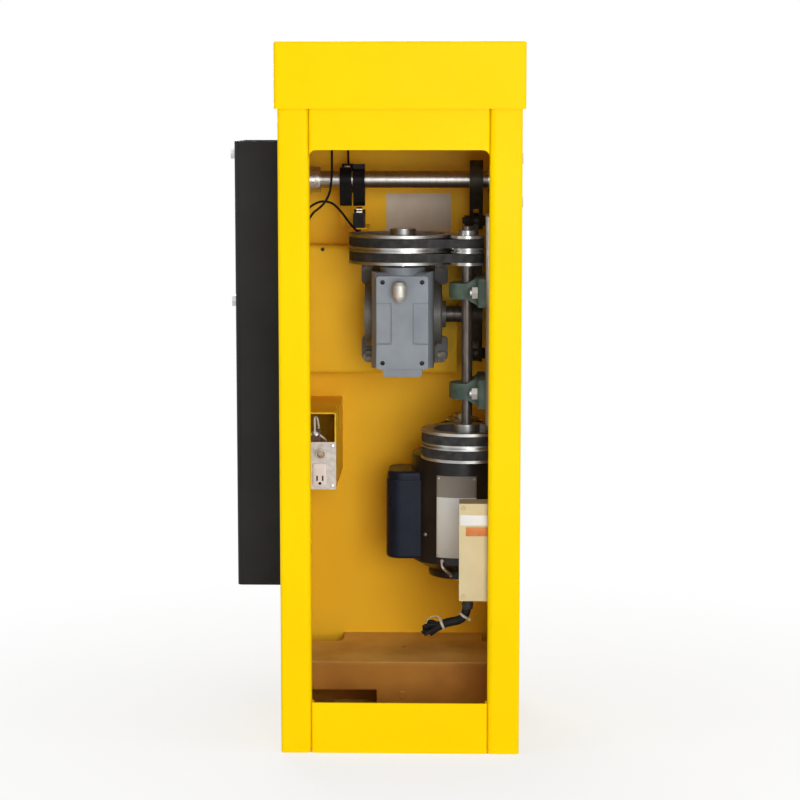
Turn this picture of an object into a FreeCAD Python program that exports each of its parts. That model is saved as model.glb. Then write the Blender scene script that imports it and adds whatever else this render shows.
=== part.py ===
import FreeCAD, Part
import math
import os
from FreeCAD import Vector

# Barrier gate operator: a folded sheet cabinet with a belt, worm and parallel-crank
# drive that swings a channel-shaped arm holder hanging on its side.
# Millimetres. +Z is up, the open service side faces +Y, the arm is on the +X side,
# and the origin is on the floor under the middle of the cabinet.

# Cabinet
cabinet_width = 343.0
cabinet_depth = 343.0
cabinet_height = 1016.0
wall = 3.0
fold = 2.0
arm_side_flange = 44.0
far_side_flange = 46.0
lip_depth = 18.0
lip_fold = 5.0
rail_fold = 1.5
top_rail_height = 147.0
bottom_rail_height = 74.0
opening_corner = 10.0

# Cap and its lock
cap_height = 93.0
cap_clearance = 1.5
cap_edge = 3.0
lock_inset = 79.0
lock_y = 0.0
lock_ring_radius = 20.0
lock_ring_height = 4.0
lock_barrel_radius = 11.0
lock_plug_radius = 8.0
lock_plug_recess = 1.0
lock_barrel_length = 26.0
key_slot_length = 9.0
key_slot_width = 2.0
key_slot_depth = 4.0
tongue_length = 32.0
tongue_width = 14.0
tongue_thickness = 3.0
tongue_corner = 6.0
tongue_clearance = 1.0
catch_thickness = 3.0
catch_width = 60.0
catch_height = 40.0
catch_overlap = 10.0

# Base and floor shelf
base_thickness = 6.0
base_rim = 60.0
anchor_inset = 25.0
anchor_hole_radius = 7.0
shelf_height = 100.0
shelf_depth = 198.5
notch_depth = 62.0
arm_notch_width = 72.0
far_notch_width = 48.0
notch_corner = 12.0
shelf_hole_radius = 4.0
conduit_width = 130.0
conduit_height = 58.0

# Fasteners and fits
bolt_radius = 5.0
bolt_flats = 16.0
bolt_head = 6.4
nut_height = 8.0
bolt_end = 3.0
hole_clearance = 0.5
running_clearance = 0.05
side_gap = 0.3

# Arm shaft, measured from the cabinet's top and its front wall
arm_drop = 198.0
arm_setback = 96.5
shaft_radius = 12.7
bearing_plate = 88.0
bearing_plate_thickness = 11.0
bearing_corner = 14.0
bearing_dome_radius = 32.0
bearing_height = 24.0
bearing_bolt_spacing = 64.0
wall_hole_clearance = 6.0
collar_radius = 20.0
collar_length = 18.0
set_screw_radius = 3.0
set_screw_wall = 2.0

# Arm holder
channel_width = 127.0
channel_depth = 73.0
channel_wall = 4.8
channel_fold = 3.0
channel_gap = 5.5
channel_rise = 58.0
channel_length = 667.0
channel_column_spacing = 82.0
holder_rise = 39.5
holder_drop = 180.0
weight_hole_radius = 4.5
weight_hole_spacing = 140.0
weight_hole_height = 61.0
arm_pocket = 33.0
hub_plate_thickness = 12.0
hub_plate_margin = 16.0
hub_radius = 24.0
hub_length = 17.0

# Lever, rod and crank
lever_length = 78.0
lever_rest = 35.0
lever_thickness = 20.0
lever_inset = 60.0
lever_hub_radius = 29.0
crank_hub_radius = 19.0
lever_eye_radius = 13.0
lever_fork_depth = 38.0
rod_thickness = 8.0
rod_width = 20.0
rod_eye_radius = 12.0
rod_shoulder = 44.0
pin_radius = 5.0
shaft_spacing = 201.0

# Limit cams and switches
cam_width = 17.5
cam_gap = 2.5
cam_inset = 72.0
cam_radius = 18.0
cam_reach = 40.0
cam_lobe_radius = 9.0
cam_boss_height = 23.0
cam_boss_width = 18.0
switch_drop = 72.0
switch_width = 17.0
switch_length = 44.0
switch_body = 21.0
switch_ear = 4.0
switch_ear_reach = 3.0
switch_ear_round = 2.4
switch_pivot_setback = 18.0
switch_roller_seat = 0.4
switch_lever_gap = 1.5
switch_lever_thickness = 1.2
switch_lever_length = 24.0
switch_pivot_radius = 1.6
switch_roller_radius = 3.5
switch_bracket_thickness = 2.0
switch_tab_length = 9.0
switch_tab_width = 4.0
switch_tab_thickness = 1.0
switch_tab_pitch = 11.0
switch_slot_width = 8.0
switch_slot_length = 36.0
switch_bracket_margin = 4.0
switch_upstand_margin = 4.0
switch_wall_flange = 34.0

# Worm reducer
reducer_x = 0.0
reducer_bracket_depth = 48.5
reducer_bracket_thickness = 5.0
reducer_bracket_height = 198.0
reducer_bracket_overhang = 80.0
foot_width = 132.0
foot_height = 160.0
foot_thickness = 12.0
foot_corner = 13.0
foot_waist = 14.0
foot_lug_share = 0.46
foot_lug = 40.0
foot_bolt_inset = 10.0
output_setback = 68.0
centre_distance = 52.0
case_width = 92.0
case_below = 74.0
case_above = 69.0
case_corner = 22.0
case_boss_radius = 48.0
case_boss_reach = 3.5
pad_width = 76.0
pad_below = 74.0
pad_above = 63.0
pad_reach = 40.0
pad_thickness = 8.0
pad_hole_radius = 3.4
pad_hole_depth = 14.0
pad_hole_inset = 9.0
pad_corner = 3.6
panel_recess = 3.0
panel_corner = 5.0
panel_rib = 32.0
panel_above = 23.0
panel_below = 37.0
chin_width = 58.0
chin_height = 12.0
chin_corner = 4.8
tower_radius = 34.0
tower_height = 6.0
end_cover_radius = 45.0
end_cover_edge = 2.0
end_cover_thickness = 8.0
seal_boss_radius = 20.0
seal_boss_length = 6.0
output_radius = 12.0
wheel_teeth = 20
wheel_tip_radius = 40.0
wheel_tooth_height = 5.0
wheel_root_share = 0.3
wheel_tip_share = 0.15
wheel_width = 26.0
worm_radius = 11.0
input_radius = 8.0
cavity_gap = 4.0
breather_height = 44.0
breather_x = 3.0
breather_stub_radius = 6.0
breather_stub_length = 6.0
breather_radius = 10.5
breather_nose_radius = 5.2
breather_waist_radius = 8.4
breather_crown_radius = 7.9
breather_body = 27.0
breather_tip = 4.0
breather_shoulder = 7.0
breather_crown = 2.0

# Pulleys and belts
groove_pitch = 21.0
groove_edge = 11.0
groove_half_width = 6.8
groove_depth = 11.0
groove_slope = 0.325
land_split = 2.6
land_split_depth = 4.0
belt_sink = 0.6
belt_thickness = 7.5
belt_gap = 0.35
reducer_pulley_lift = 6.0
countershaft_small_radius = 25.0
countershaft_large_radius = 67.0
pulley_gap = 4.77
motor_pulley_radius = 25.0
pulley_rim = 18.0
pulley_web = 9.0
pulley_hub_radius = 19.0
small_hub_radius = 13.0
pulley_hub_rise = 7.0

# Countershaft, its pillow blocks and bracket
countershaft_radius = 8.0
countershaft_offset = 55.0
countershaft_end = 6.0
countershaft_bracket_depth = 46.5
countershaft_bracket_thickness = 5.0
countershaft_bracket_width = 134.0
countershaft_bracket_above = 110.0
countershaft_bracket_below = 44.0
pillow_height = 27.0
pillow_length = 118.0
pillow_foot = 12.0
pillow_foot_height = 41.0
pillow_dome_height = 23.0
pillow_edge = 4.0
pillow_dome_radius = 26.0
pillow_foot_span = 90.0
pillow_below_pulley = 58.5
pillow_spacing = 146.0
large_pulley_below_pillow = 78.0

# Motor
motor_radius = 76.5
motor_wall_gap = 3.0
motor_setback = 108.5
motor_length = 181.0
motor_below_pulley = 5.0
bell_height = 16.0
bell_step = 9.0
bell_step_height = 5.0
bell_taper = 25.5
bell_taper_height = 15.0
bell_boss_radius = 24.0
bell_boss_height = 4.0
bell_foot_radius = 50.0
bell_foot_height = 11.0
motor_shaft_radius = 8.0
motor_stub = 14.0
motor_shell_gap = 1.0
motor_vent_radius = 6.0
motor_vents = 8
cradle_thickness = 5.0
cradle_width = 118.0
cradle_inset = 34.0
cradle_plate_thickness = 6.0
cradle_plate_margin = 14.0
cradle_bolt_inset = 18.0
saddle_half_angle = 38.0
saddle_overlap = 20.0
capacitor_reach = 38.5
capacitor_width = 88.0
capacitor_height = 133.0
capacitor_lift = 19.0
capacitor_corner = 22.0
capacitor_edge = 5.0
capacitor_lid = 13.0
capacitor_lid_inset = 2.0

# Control box on the far wall
control_depth = 84.0
control_width = 40.0
control_height = 142.0
control_drop = 53.5
control_setback = 21.5
control_sheet = 1.5
control_cover_thickness = 2.0

# Junction box on the arm-side wall
junction_reach = 70.0
junction_depth = 196.5
junction_floor = 362.0
junction_height = 115.0
junction_sheet = 2.0
junction_fold = 1.0
switch_plate_height = 71.0
switch_plate_thickness = 2.0
toggle_inset = 22.0
toggle_rise = 53.0
toggle_bushing_wall = 3.0
toggle_bushing = 4.0
toggle_radius = 4.0
toggle_root_radius = 2.8
toggle_length = 17.0
toggle_tilt = 15.0
toggle_ball_radius = 5.5

# Leads: bushings in the junction box's top, and a bundle below the control box
lead_radius = 1.7
bushing_radius = 4.0
bushing_flange_radius = 6.0
bushing_flange = 2.0
bushing_height = 6.0
bushing_inset = 14.5
bushing_pitch = 14.0
bushing_setback = 24.0
bundle_radius = 6.5
bundle_inset = 12.5
bundle_setback = 22.0

# Places worked out from the sizes above
half_width = cabinet_width / 2
half_depth = cabinet_depth / 2
inner_x = half_width - wall
inner_front = wall - half_depth
inner_back = half_depth - wall
wrap_top = cabinet_height - wall
opening_arm_x = half_width - arm_side_flange
opening_far_x = far_side_flange - half_width
opening_top = wrap_top - top_rail_height
arm_y = inner_front + arm_setback
arm_z = cabinet_height - arm_drop
web_x = half_width + channel_gap + channel_depth
hub_plate_x = web_x - channel_wall - arm_pocket
lever_x = lever_inset - inner_x
mount_y = inner_front + reducer_bracket_depth
output_y = mount_y + output_setback
output_z = arm_z - shaft_spacing
worm_y = output_y + centre_distance
pad_y = worm_y + pad_reach
case_top = output_z + case_above
tower_top = case_top + tower_height
pulley_face = groove_pitch + 2 * groove_edge
upper_pulley_z = tower_top + reducer_pulley_lift + pulley_face / 2
bracket_face_x = countershaft_bracket_depth - inner_x
counter_x = bracket_face_x + pillow_height
counter_y = worm_y + countershaft_offset
upper_pillow_z = upper_pulley_z - pillow_below_pulley
lower_pillow_z = upper_pillow_z - pillow_spacing
lower_pulley_z = lower_pillow_z - large_pulley_below_pillow
motor_x = motor_radius + motor_wall_gap - inner_x
motor_y = inner_front + motor_setback
motor_top = lower_pulley_z - pulley_face / 2 - motor_below_pulley
motor_bottom = motor_top - motor_length
belt_reach = math.hypot(counter_x - reducer_x, counter_y - worm_y)
reducer_pulley_radius = belt_reach - countershaft_small_radius - pulley_gap
case_face_x = reducer_x - case_width / 2 - case_boss_reach
control_top = lower_pulley_z - pulley_face / 2 - control_drop
control_floor = control_top - control_height
pin_dy = -lever_length * math.sin(math.radians(lever_rest))
pin_dz = -lever_length * math.cos(math.radians(lever_rest))
fork_slot = rod_thickness + 2 * side_gap


def at(axis, u, v, along):
    """Point from two profile coordinates and a place along the axis they face."""
    if axis == "X":
        return Vector(along, u, v)
    if axis == "Y":
        return Vector(u, along, v)
    return Vector(u, v, along)


def tangent_arc(before, point, after, radius):
    """Start, middle and end of the arc that rounds one corner of a path."""
    back = (before - point).normalize()
    onward = (after - point).normalize()
    half = back.getAngle(onward) / 2
    reach = radius / math.tan(half)
    middle = (back + onward).normalize() * (radius / math.sin(half) - radius)
    return point + back * reach, point + middle, point + onward * reach


def rounded_path(points, radii, closed):
    """Lines and tangent arcs through points, each corner with its own radius."""
    corners = []
    count = len(points)
    for i, point in enumerate(points):
        end = not closed and i in (0, count - 1)
        if end or radii[i] <= 0:
            corners.append((point, None, point))
        else:
            corners.append(tangent_arc(points[i - 1], point, points[(i + 1) % count], radii[i]))
    edges = []
    for i, (start, middle, stop) in enumerate(corners):
        if middle is not None:
            edges.append(Part.Arc(start, middle, stop).toShape())
        if closed or i < count - 1:
            following = corners[(i + 1) % count][0]
            if stop.distanceToPoint(following) > 1e-6:
                edges.append(Part.LineSegment(stop, following).toShape())
    return Part.Wire(edges)


def prism(axis, points, start, end, radius=0.0):
    """Closed outline, with corners rounded by one radius or a list, extruded along an axis."""
    radii = radius if isinstance(radius, list) else [radius] * len(points)
    wire = rounded_path([at(axis, u, v, start) for u, v in points], radii, True)
    return Part.Face(wire).extrude(at(axis, 0, 0, end - start))


def rectangle(u0, u1, v0, v1):
    return [(u0, v0), (u1, v0), (u1, v1), (u0, v1)]


def block(x0, x1, y0, y1, z0, z1):
    return Part.makeBox(x1 - x0, y1 - y0, z1 - z0, Vector(x0, y0, z0))


def cylinder(axis, u, v, radius, start, end):
    return Part.makeCylinder(radius, abs(end - start), at(axis, u, v, min(start, end)), at(axis, 0, 0, 1))


def tube(axis, u, v, outer, inner, start, end):
    return cylinder(axis, u, v, outer, start, end).cut(cylinder(axis, u, v, inner, start, end))


def lathe(axis, u, v, profile):
    """Closed profile of (radius, along) points turned about an axis through (u, v)."""
    points = [at(axis, u + r, v, along) for r, along in profile]
    face = Part.Face(Part.makePolygon(points + points[:1]))
    return face.revolve(at(axis, u, v, 0), at(axis, 0, 0, 1), 360)


def bent_sheet(axis, points, side, thickness, inside_radii, start, end):
    """Folded sheet: an open run of face points, thickened to its left (1) or right (-1)."""
    flat = [Vector(u, v, 0) for u, v in points]
    runs = [(b - a).normalize() for a, b in zip(flat, flat[1:])]
    normals = [Vector(-run.y, run.x, 0) * side * thickness for run in runs]
    shifted = [flat[0] + normals[0]]
    near_radii = [0.0]
    far_radii = [0.0]
    for i in range(1, len(runs)):
        cosine = runs[i - 1].dot(runs[i])
        shifted.append(flat[i] + (normals[i - 1] + normals[i]) / (1 + cosine))
        turn = runs[i - 1].x * runs[i].y - runs[i - 1].y * runs[i].x
        inside = inside_radii[i - 1] if isinstance(inside_radii, list) else inside_radii
        folds_inward = turn * side > 0
        near_radii.append(inside + thickness if folds_inward else inside)
        far_radii.append(inside if folds_inward else inside + thickness)
    shifted.append(flat[-1] + normals[-1])
    near_radii.append(0.0)
    far_radii.append(0.0)
    outline = [(p.x, p.y) for p in flat + shifted[::-1]]
    return prism(axis, outline, start, end, near_radii + far_radii[::-1])


def hexagon(axis, u, v, flats, start, end):
    corner = flats / math.sqrt(3)
    angles = [math.radians(60 * i) for i in range(6)]
    points = [(u + corner * math.cos(a), v + corner * math.sin(a)) for a in angles]
    return prism(axis, points, min(start, end), max(start, end))


def bolt(axis, u, v, head_seat, nut_seat):
    """Hex bolt with its head on one face and its nut on the other, as two solids."""
    way = 1 if nut_seat > head_seat else -1
    tip = nut_seat + way * (nut_height + bolt_end)
    head = hexagon(axis, u, v, bolt_flats, head_seat - way * bolt_head, head_seat)
    shank = cylinder(axis, u, v, bolt_radius, head_seat, tip)
    nut = hexagon(axis, u, v, bolt_flats, nut_seat, nut_seat + way * nut_height)
    return [head.fuse(shank).removeSplitter(), nut.cut(cylinder(axis, u, v, bolt_radius, nut_seat, tip))]


def bolt_hole(axis, u, v, start, end):
    return cylinder(axis, u, v, bolt_radius + hole_clearance, start, end)


def cut_all(shape, tools):
    return shape.cut(Part.makeCompound(tools)) if tools else shape


def save(name, shape):
    shape.exportStep(os.path.join("parts", name + ".step"))


# Cabinet

def bearing_bolt_places():
    half = bearing_bolt_spacing / 2
    return [(arm_y + a, arm_z + b) for a in (-half, half) for b in (-half, half)]


def wall_holes():
    """Clearance through both side walls for the arm shaft and its bearings' bolts."""
    reach = half_width + wall
    holes = [cylinder("X", arm_y, arm_z, shaft_radius + wall_hole_clearance, -reach, reach)]
    holes += [bolt_hole("X", y, z, -reach, reach) for y, z in bearing_bolt_places()]
    return holes


def floor_blank(z0, z1):
    """Everything inside the walls between two heights."""
    return prism("Z", rectangle(-inner_x, inner_x, inner_front, inner_back), z0, z1, fold)


def cabinet_wrap():
    lip_y = half_depth - lip_depth
    run = [(opening_far_x, lip_y), (opening_far_x, half_depth), (-half_width, half_depth),
           (-half_width, -half_depth), (half_width, -half_depth), (half_width, half_depth),
           (opening_arm_x, half_depth), (opening_arm_x, lip_y)]
    folds = [lip_fold, fold, fold, fold, fold, lip_fold]
    shell = bent_sheet("Z", run, 1, wall, folds, 0, wrap_top)
    return cut_all(shell, wall_holes() + [floor_blank(0, base_thickness)])


def opening_rail(z0, z1):
    """Pan-shaped rail between the lips of the service opening."""
    lip_y = half_depth - lip_depth
    run = [(opening_far_x, lip_y), (opening_far_x, half_depth),
           (opening_arm_x, half_depth), (opening_arm_x, lip_y)]
    return bent_sheet("Z", run, -1, wall, rail_fold, z0, z1)


def back_top_rail():
    rail = opening_rail(opening_top - opening_corner, wrap_top)
    corners = [0.0, 0.0, opening_corner, opening_corner]
    mouth = rectangle(opening_far_x, opening_arm_x, opening_top - 2 * opening_corner, opening_top)
    return rail.cut(prism("Y", mouth, half_depth - lip_depth, half_depth, corners))


def back_bottom_rail():
    return opening_rail(0, bottom_rail_height).cut(floor_blank(0, base_thickness))


def anchor_places():
    x = inner_x - anchor_inset
    y = inner_back - anchor_inset
    return [(a * x, b * y) for a in (-1, 1) for b in (-1, 1)]


def base_frame():
    middle = rectangle(base_rim - inner_x, inner_x - base_rim, inner_front + base_rim, inner_back - base_rim)
    holes = [cylinder("Z", x, y, anchor_hole_radius, 0, base_thickness) for x, y in anchor_places()]
    window = prism("Z", middle, 0, base_thickness, notch_corner)
    return cut_all(floor_blank(0, base_thickness), holes + [window])


def base_shelf():
    front_y = inner_front + shelf_depth
    run = [(inner_front, shelf_height), (front_y, shelf_height), (front_y, base_thickness)]
    shelf = bent_sheet("X", run, -1, wall, fold, -inner_x, inner_x)
    shelf = shelf.common(floor_blank(base_thickness, shelf_height))
    notch_y = inner_front + notch_depth
    low = shelf_height - 2 * wall
    arm_notch = rectangle(inner_x - arm_notch_width, inner_x, inner_front, notch_y)
    far_notch = rectangle(-inner_x, far_notch_width - inner_x, inner_front, notch_y)
    cuts = [prism("Z", arm_notch, low, shelf_height, [0, 0, 0, notch_corner]),
            prism("Z", far_notch, low, shelf_height, [0, 0, notch_corner, 0]),
            cylinder("Z", 0, inner_front + shelf_depth / 2, shelf_hole_radius, low, shelf_height),
            cylinder("Y", 0, shelf_height / 2, shelf_hole_radius, front_y - 2 * wall, front_y),
            block(inner_x - conduit_width, inner_x, front_y - 2 * wall, front_y, base_thickness,
                  conduit_height)]
    return cut_all(shelf, cuts)


# Cap, lock and catch

def lock_x():
    return inner_x - lock_inset


def cap():
    outer_x = half_width + cap_clearance + wall
    outer_y = half_depth + cap_clearance + wall
    floor = cabinet_height - cap_height
    outer = prism("Z", rectangle(-outer_x, outer_x, -outer_y, outer_y), floor, cabinet_height, fold + wall)
    top_edges = [e for e in outer.Edges if e.BoundBox.ZMin > cabinet_height - 0.01]
    outer = outer.makeFillet(cap_edge, top_edges)
    inner_outline = rectangle(wall - outer_x, outer_x - wall, wall - outer_y, outer_y - wall)
    hollow = prism("Z", inner_outline, floor, wrap_top, fold)
    return outer.cut(hollow).cut(cylinder("Z", lock_x(), lock_y, lock_barrel_radius, floor, cabinet_height))


def cap_lock_ring():
    top = cabinet_height + lock_ring_height
    bottom = cabinet_height - lock_barrel_length
    bore = lock_plug_radius + running_clearance
    profile = [(bore, bottom), (lock_barrel_radius, bottom), (lock_barrel_radius, cabinet_height),
               (lock_ring_radius, cabinet_height), (lock_ring_radius, cabinet_height + lock_ring_height / 2),
               (lock_ring_radius - lock_ring_height / 2, top), (bore, top)]
    return lathe("Z", lock_x(), lock_y, profile)


def cap_lock_plug():
    top = cabinet_height + lock_ring_height - lock_plug_recess
    bottom = cabinet_height - lock_barrel_length - tongue_clearance
    plug = cylinder("Z", lock_x(), lock_y, lock_plug_radius, bottom - tongue_thickness, top)
    slot = block(lock_x() - key_slot_length / 2, lock_x() + key_slot_length / 2,
                 lock_y - key_slot_width / 2, lock_y + key_slot_width / 2, top - key_slot_depth, top)
    half = tongue_width / 2
    tongue = prism("Z", rectangle(lock_x() - half, lock_x() + half, lock_y - tongue_length, lock_y + half),
                   bottom - tongue_thickness, bottom, tongue_corner)
    return plug.cut(slot).fuse(tongue).removeSplitter()


def lock_catch():
    tab_bottom = cabinet_height - lock_barrel_length
    tab_x = lock_x() + tongue_length - catch_overlap
    run = [(inner_x, tab_bottom - catch_height), (inner_x, tab_bottom + catch_thickness),
           (tab_x, tab_bottom + catch_thickness)]
    return bent_sheet("Y", run, 1, catch_thickness, fold, lock_y - catch_width / 2, lock_y + catch_width / 2)


# Arm shaft, bearings and holder

def arm_bearing(way):
    """Square flange bearing on the inside of a side wall; way is 1 on the arm side."""
    half = bearing_plate / 2
    face = way * inner_x
    plate_end = way * (inner_x - bearing_plate_thickness)
    outline = rectangle(arm_y - half, arm_y + half, arm_z - half, arm_z + half)
    plate = prism("X", outline, min(face, plate_end), max(face, plate_end), bearing_corner)
    dome = cylinder("X", arm_y, arm_z, bearing_dome_radius, face, way * (inner_x - bearing_height))
    bore = cylinder("X", arm_y, arm_z, shaft_radius + running_clearance, 0, face)
    holes = [bolt_hole("X", y, z, 0, face) for y, z in bearing_bolt_places()]
    return cut_all(plate.fuse(dome).removeSplitter(), [bore] + holes)


def bearing_bolts():
    solids = []
    for way in (-1, 1):
        for y, z in bearing_bolt_places():
            solids += bolt("X", y, z, way * half_width, way * (inner_x - bearing_plate_thickness))
    return Part.makeCompound(solids)


def collar_place(way):
    """Inner and outer end of a lock collar beside its bearing."""
    outer = inner_x - bearing_height - side_gap
    return way * (outer - collar_length), way * outer


def arm_shaft():
    far_end = -inner_x
    return cylinder("X", arm_y, arm_z, shaft_radius, far_end, hub_plate_x)


def shaft_collars():
    solids = []
    for way in (-1, 1):
        start, end = collar_place(way)
        ring = tube("X", arm_y, arm_z, collar_radius, shaft_radius, start, end)
        middle = (start + end) / 2
        floor_y = arm_y + shaft_radius + set_screw_wall
        solids.append(ring.cut(cylinder("Y", middle, arm_z, set_screw_radius, floor_y, arm_y + collar_radius)))
    return Part.makeCompound(solids)


def holder_bolt_places():
    half = channel_column_spacing / 2
    rows = (arm_z + holder_rise, arm_z - holder_drop)
    return [(arm_y + side * half, z) for side in (-1, 1) for z in rows]


def arm_hub_plate():
    half = channel_width / 2 - channel_wall
    bottom = arm_z - holder_drop - hub_plate_margin
    top = arm_z + holder_rise + hub_plate_margin
    back = hub_plate_x - hub_plate_thickness
    plate = prism("X", rectangle(arm_y - half, arm_y + half, bottom, top), back, hub_plate_x, fold)
    hub = cylinder("X", arm_y, arm_z, hub_radius, back - hub_length, back)
    cuts = [cylinder("X", arm_y, arm_z, shaft_radius, back - hub_length, hub_plate_x)]
    cuts += [bolt_hole("X", y, z, back, hub_plate_x) for y, z in holder_bolt_places()]
    return cut_all(plate.fuse(hub).removeSplitter(), cuts)


def weight_hole_places():
    low = arm_z + channel_rise - channel_length + weight_hole_height
    return [(arm_y, low), (arm_y, low + weight_hole_spacing)]


def arm_channel():
    inner_edge = web_x - channel_depth
    half = channel_width / 2
    run = [(inner_edge, arm_y - half), (web_x, arm_y - half), (web_x, arm_y + half), (inner_edge, arm_y + half)]
    top = arm_z + channel_rise
    channel = bent_sheet("Z", run, 1, channel_wall, channel_fold, top - channel_length, top)
    cuts = [bolt_hole("X", y, z, inner_edge, web_x) for y, z in holder_bolt_places()]
    cuts += [cylinder("X", y, z, weight_hole_radius, inner_edge, web_x) for y, z in weight_hole_places()]
    return cut_all(channel, cuts)


def channel_bolts():
    solids = []
    for y, z in holder_bolt_places():
        solids += bolt("X", y, z, web_x, hub_plate_x - hub_plate_thickness)
    return Part.makeCompound(solids)


# Lever, crank and rod

def link_outline(axis_y, axis_z, end_y, end_z, hub, eye, start, end):
    """Flat bar with a round at each end, joined by the lines that touch both."""
    length = math.hypot(end_y - axis_y, end_z - axis_z)
    way = math.atan2(end_z - axis_z, end_y - axis_y)
    lean = math.acos((hub - eye) / length)
    points = []
    for side in (1, -1):
        angle = way + side * lean
        near = (axis_y + hub * math.cos(angle), axis_z + hub * math.sin(angle))
        far = (end_y + eye * math.cos(angle), end_z + eye * math.sin(angle))
        points += [near, far] if side > 0 else [far, near]
    bar = prism("X", points, start, end)
    ends = [cylinder("X", axis_y, axis_z, hub, start, end), cylinder("X", end_y, end_z, eye, start, end)]
    return bar.multiFuse(ends).removeSplitter()


def forked_lever(axis_y, axis_z, hub, bore):
    """Lever whose far end is forked round the connecting rod's eye."""
    start = lever_x - lever_thickness / 2
    end = lever_x + lever_thickness / 2
    pin_y = axis_y + pin_dy
    pin_z = axis_z + pin_dz
    lever = link_outline(axis_y, axis_z, pin_y, pin_z, hub, lever_eye_radius, start, end)
    slot = block(lever_x - fork_slot / 2, lever_x + fork_slot / 2, -hub, hub,
                 -lever_length - 2 * lever_eye_radius, lever_fork_depth - lever_length)
    slot.rotate(Vector(0, 0, 0), Vector(1, 0, 0), -lever_rest)
    slot.translate(Vector(0, axis_y, axis_z))
    hub_bore = cylinder("X", axis_y, axis_z, bore, start, end)
    pin_bore = cylinder("X", pin_y, pin_z, pin_radius, start, end)
    return cut_all(lever, [slot, hub_bore, pin_bore])


def pivot_pin(axis_y, axis_z):
    """Headed pin through a fork, held by a nut."""
    start = lever_x - lever_thickness / 2
    end = lever_x + lever_thickness / 2
    solids = bolt("X", axis_y + pin_dy, axis_z + pin_dz, start, end)
    return Part.makeCompound(solids)


def connecting_rod():
    """Bar as thick as the levers, thinned at both ends into eyes that fit their forks."""
    start = lever_x - rod_thickness / 2
    end = lever_x + rod_thickness / 2
    half = rod_width / 2
    top = Vector(0, arm_y + pin_dy, arm_z + pin_dz)
    bottom = Vector(0, output_y + pin_dy, output_z + pin_dz)
    shoulder = (top - bottom).normalize() * rod_shoulder
    low = bottom + shoulder
    high = top - shoulder
    bar = link_outline(low.y, low.z, high.y, high.z, half, half, lever_x - lever_thickness / 2,
                       lever_x + lever_thickness / 2)
    tongue = link_outline(bottom.y, bottom.z, top.y, top.z, half, half, start, end)
    eyes = [cylinder("X", p.y, p.z, rod_eye_radius, start, end) for p in (top, bottom)]
    rod = bar.multiFuse([tongue] + eyes).removeSplitter()
    bore = pin_radius + running_clearance
    return cut_all(rod, [cylinder("X", p.y, p.z, bore, start, end) for p in (top, bottom)])


def output_shaft():
    far_end = lever_x - lever_thickness / 2
    return cylinder("X", output_y, output_z, output_radius, far_end, reducer_x + case_width / 2 - pad_thickness)


def worm_wheel():
    """Toothed wheel on the output shaft, inside the closed case."""
    root = wheel_tip_radius - wheel_tooth_height
    step = 2 * math.pi / wheel_teeth
    points = []
    for i in range(wheel_teeth):
        for radius, share in ((root, -wheel_root_share), (wheel_tip_radius, -wheel_tip_share),
                              (wheel_tip_radius, wheel_tip_share), (root, wheel_root_share)):
            angle = step * (i + share)
            points.append((output_y + radius * math.cos(angle), output_z + radius * math.sin(angle)))
    half = wheel_width / 2
    wheel = prism("X", points, reducer_x - half, reducer_x + half)
    return wheel.cut(cylinder("X", output_y, output_z, output_radius, reducer_x - half, reducer_x + half))


# Limit cams and switches

def cam_place(index):
    """Inner and outer end of a cam; 0 is the one nearer the wall."""
    end = inner_x - cam_inset - index * (cam_width + cam_gap)
    return end - cam_width, end


def limit_cam(index, boss_angle):
    """Split collar with one lobe pointing down and a clamp boss at an angle from upright."""
    start, end = cam_place(index)
    lobe_z = arm_z - cam_reach + cam_lobe_radius
    cam = link_outline(arm_y, arm_z, arm_y, lobe_z, cam_radius, cam_lobe_radius, start, end)
    half = cam_boss_width / 2
    boss = block(start, end, -half, half, 0, cam_boss_height)
    boss.rotate(Vector(0, 0, 0), Vector(1, 0, 0), boss_angle)
    boss.translate(Vector(0, arm_y, arm_z))
    cam = cam.fuse(boss).removeSplitter()
    return cam.cut(cylinder("X", arm_y, arm_z, shaft_radius, start, end))


def facing_front(shape):
    """Turn a piece laid out under the shaft so that it faces the shaft from the front wall."""
    turned = shape.copy()
    turned.rotate(Vector(0, arm_y, arm_z), Vector(1, 0, 0), -90)
    return turned


def switch_middle(index):
    start, end = cam_place(index)
    return (start + end) / 2


def switch_base_z():
    return arm_z - switch_drop


def limit_switch(index):
    """Switch body standing on its bracket under a cam, with terminal tabs below."""
    x = switch_middle(index)
    base = switch_base_z()
    half = switch_width / 2
    y0 = arm_y - switch_length / 2
    body = block(x - half, x + half, y0, y0 + switch_length, base, base + switch_body)
    pivot_y, pivot_z = switch_pivot()
    reach = switch_ear_reach
    ear_radii = [0, 0, switch_ear_round, switch_ear_round]
    ear_points = rectangle(pivot_y - reach, pivot_y + reach, base + switch_body / 2, pivot_z + reach)
    ears = []
    for side in (-1, 1):
        inner = x + side * (half - switch_ear)
        outer = x + side * half
        ears.append(prism("X", ear_points, min(inner, outer), max(inner, outer), ear_radii))
    body = body.multiFuse(ears).removeSplitter()
    bore = cylinder("X", pivot_y, pivot_z, switch_pivot_radius + running_clearance, x - half, x + half)
    tabs = []
    for step in (-1, 0, 1):
        y = arm_y + step * switch_tab_pitch
        tabs.append(block(x - switch_tab_width / 2, x + switch_tab_width / 2, y - switch_tab_thickness / 2,
                          y + switch_tab_thickness / 2, base - switch_tab_length, base))
    return body.cut(bore).multiFuse(tabs)


def switch_pivot():
    """Pivot of the roller lever, beside the switch's top at the end away from the roller."""
    lever_bottom = switch_base_z() + switch_body + switch_lever_gap
    return arm_y - switch_pivot_setback, lever_bottom + switch_lever_thickness / 2


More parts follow.
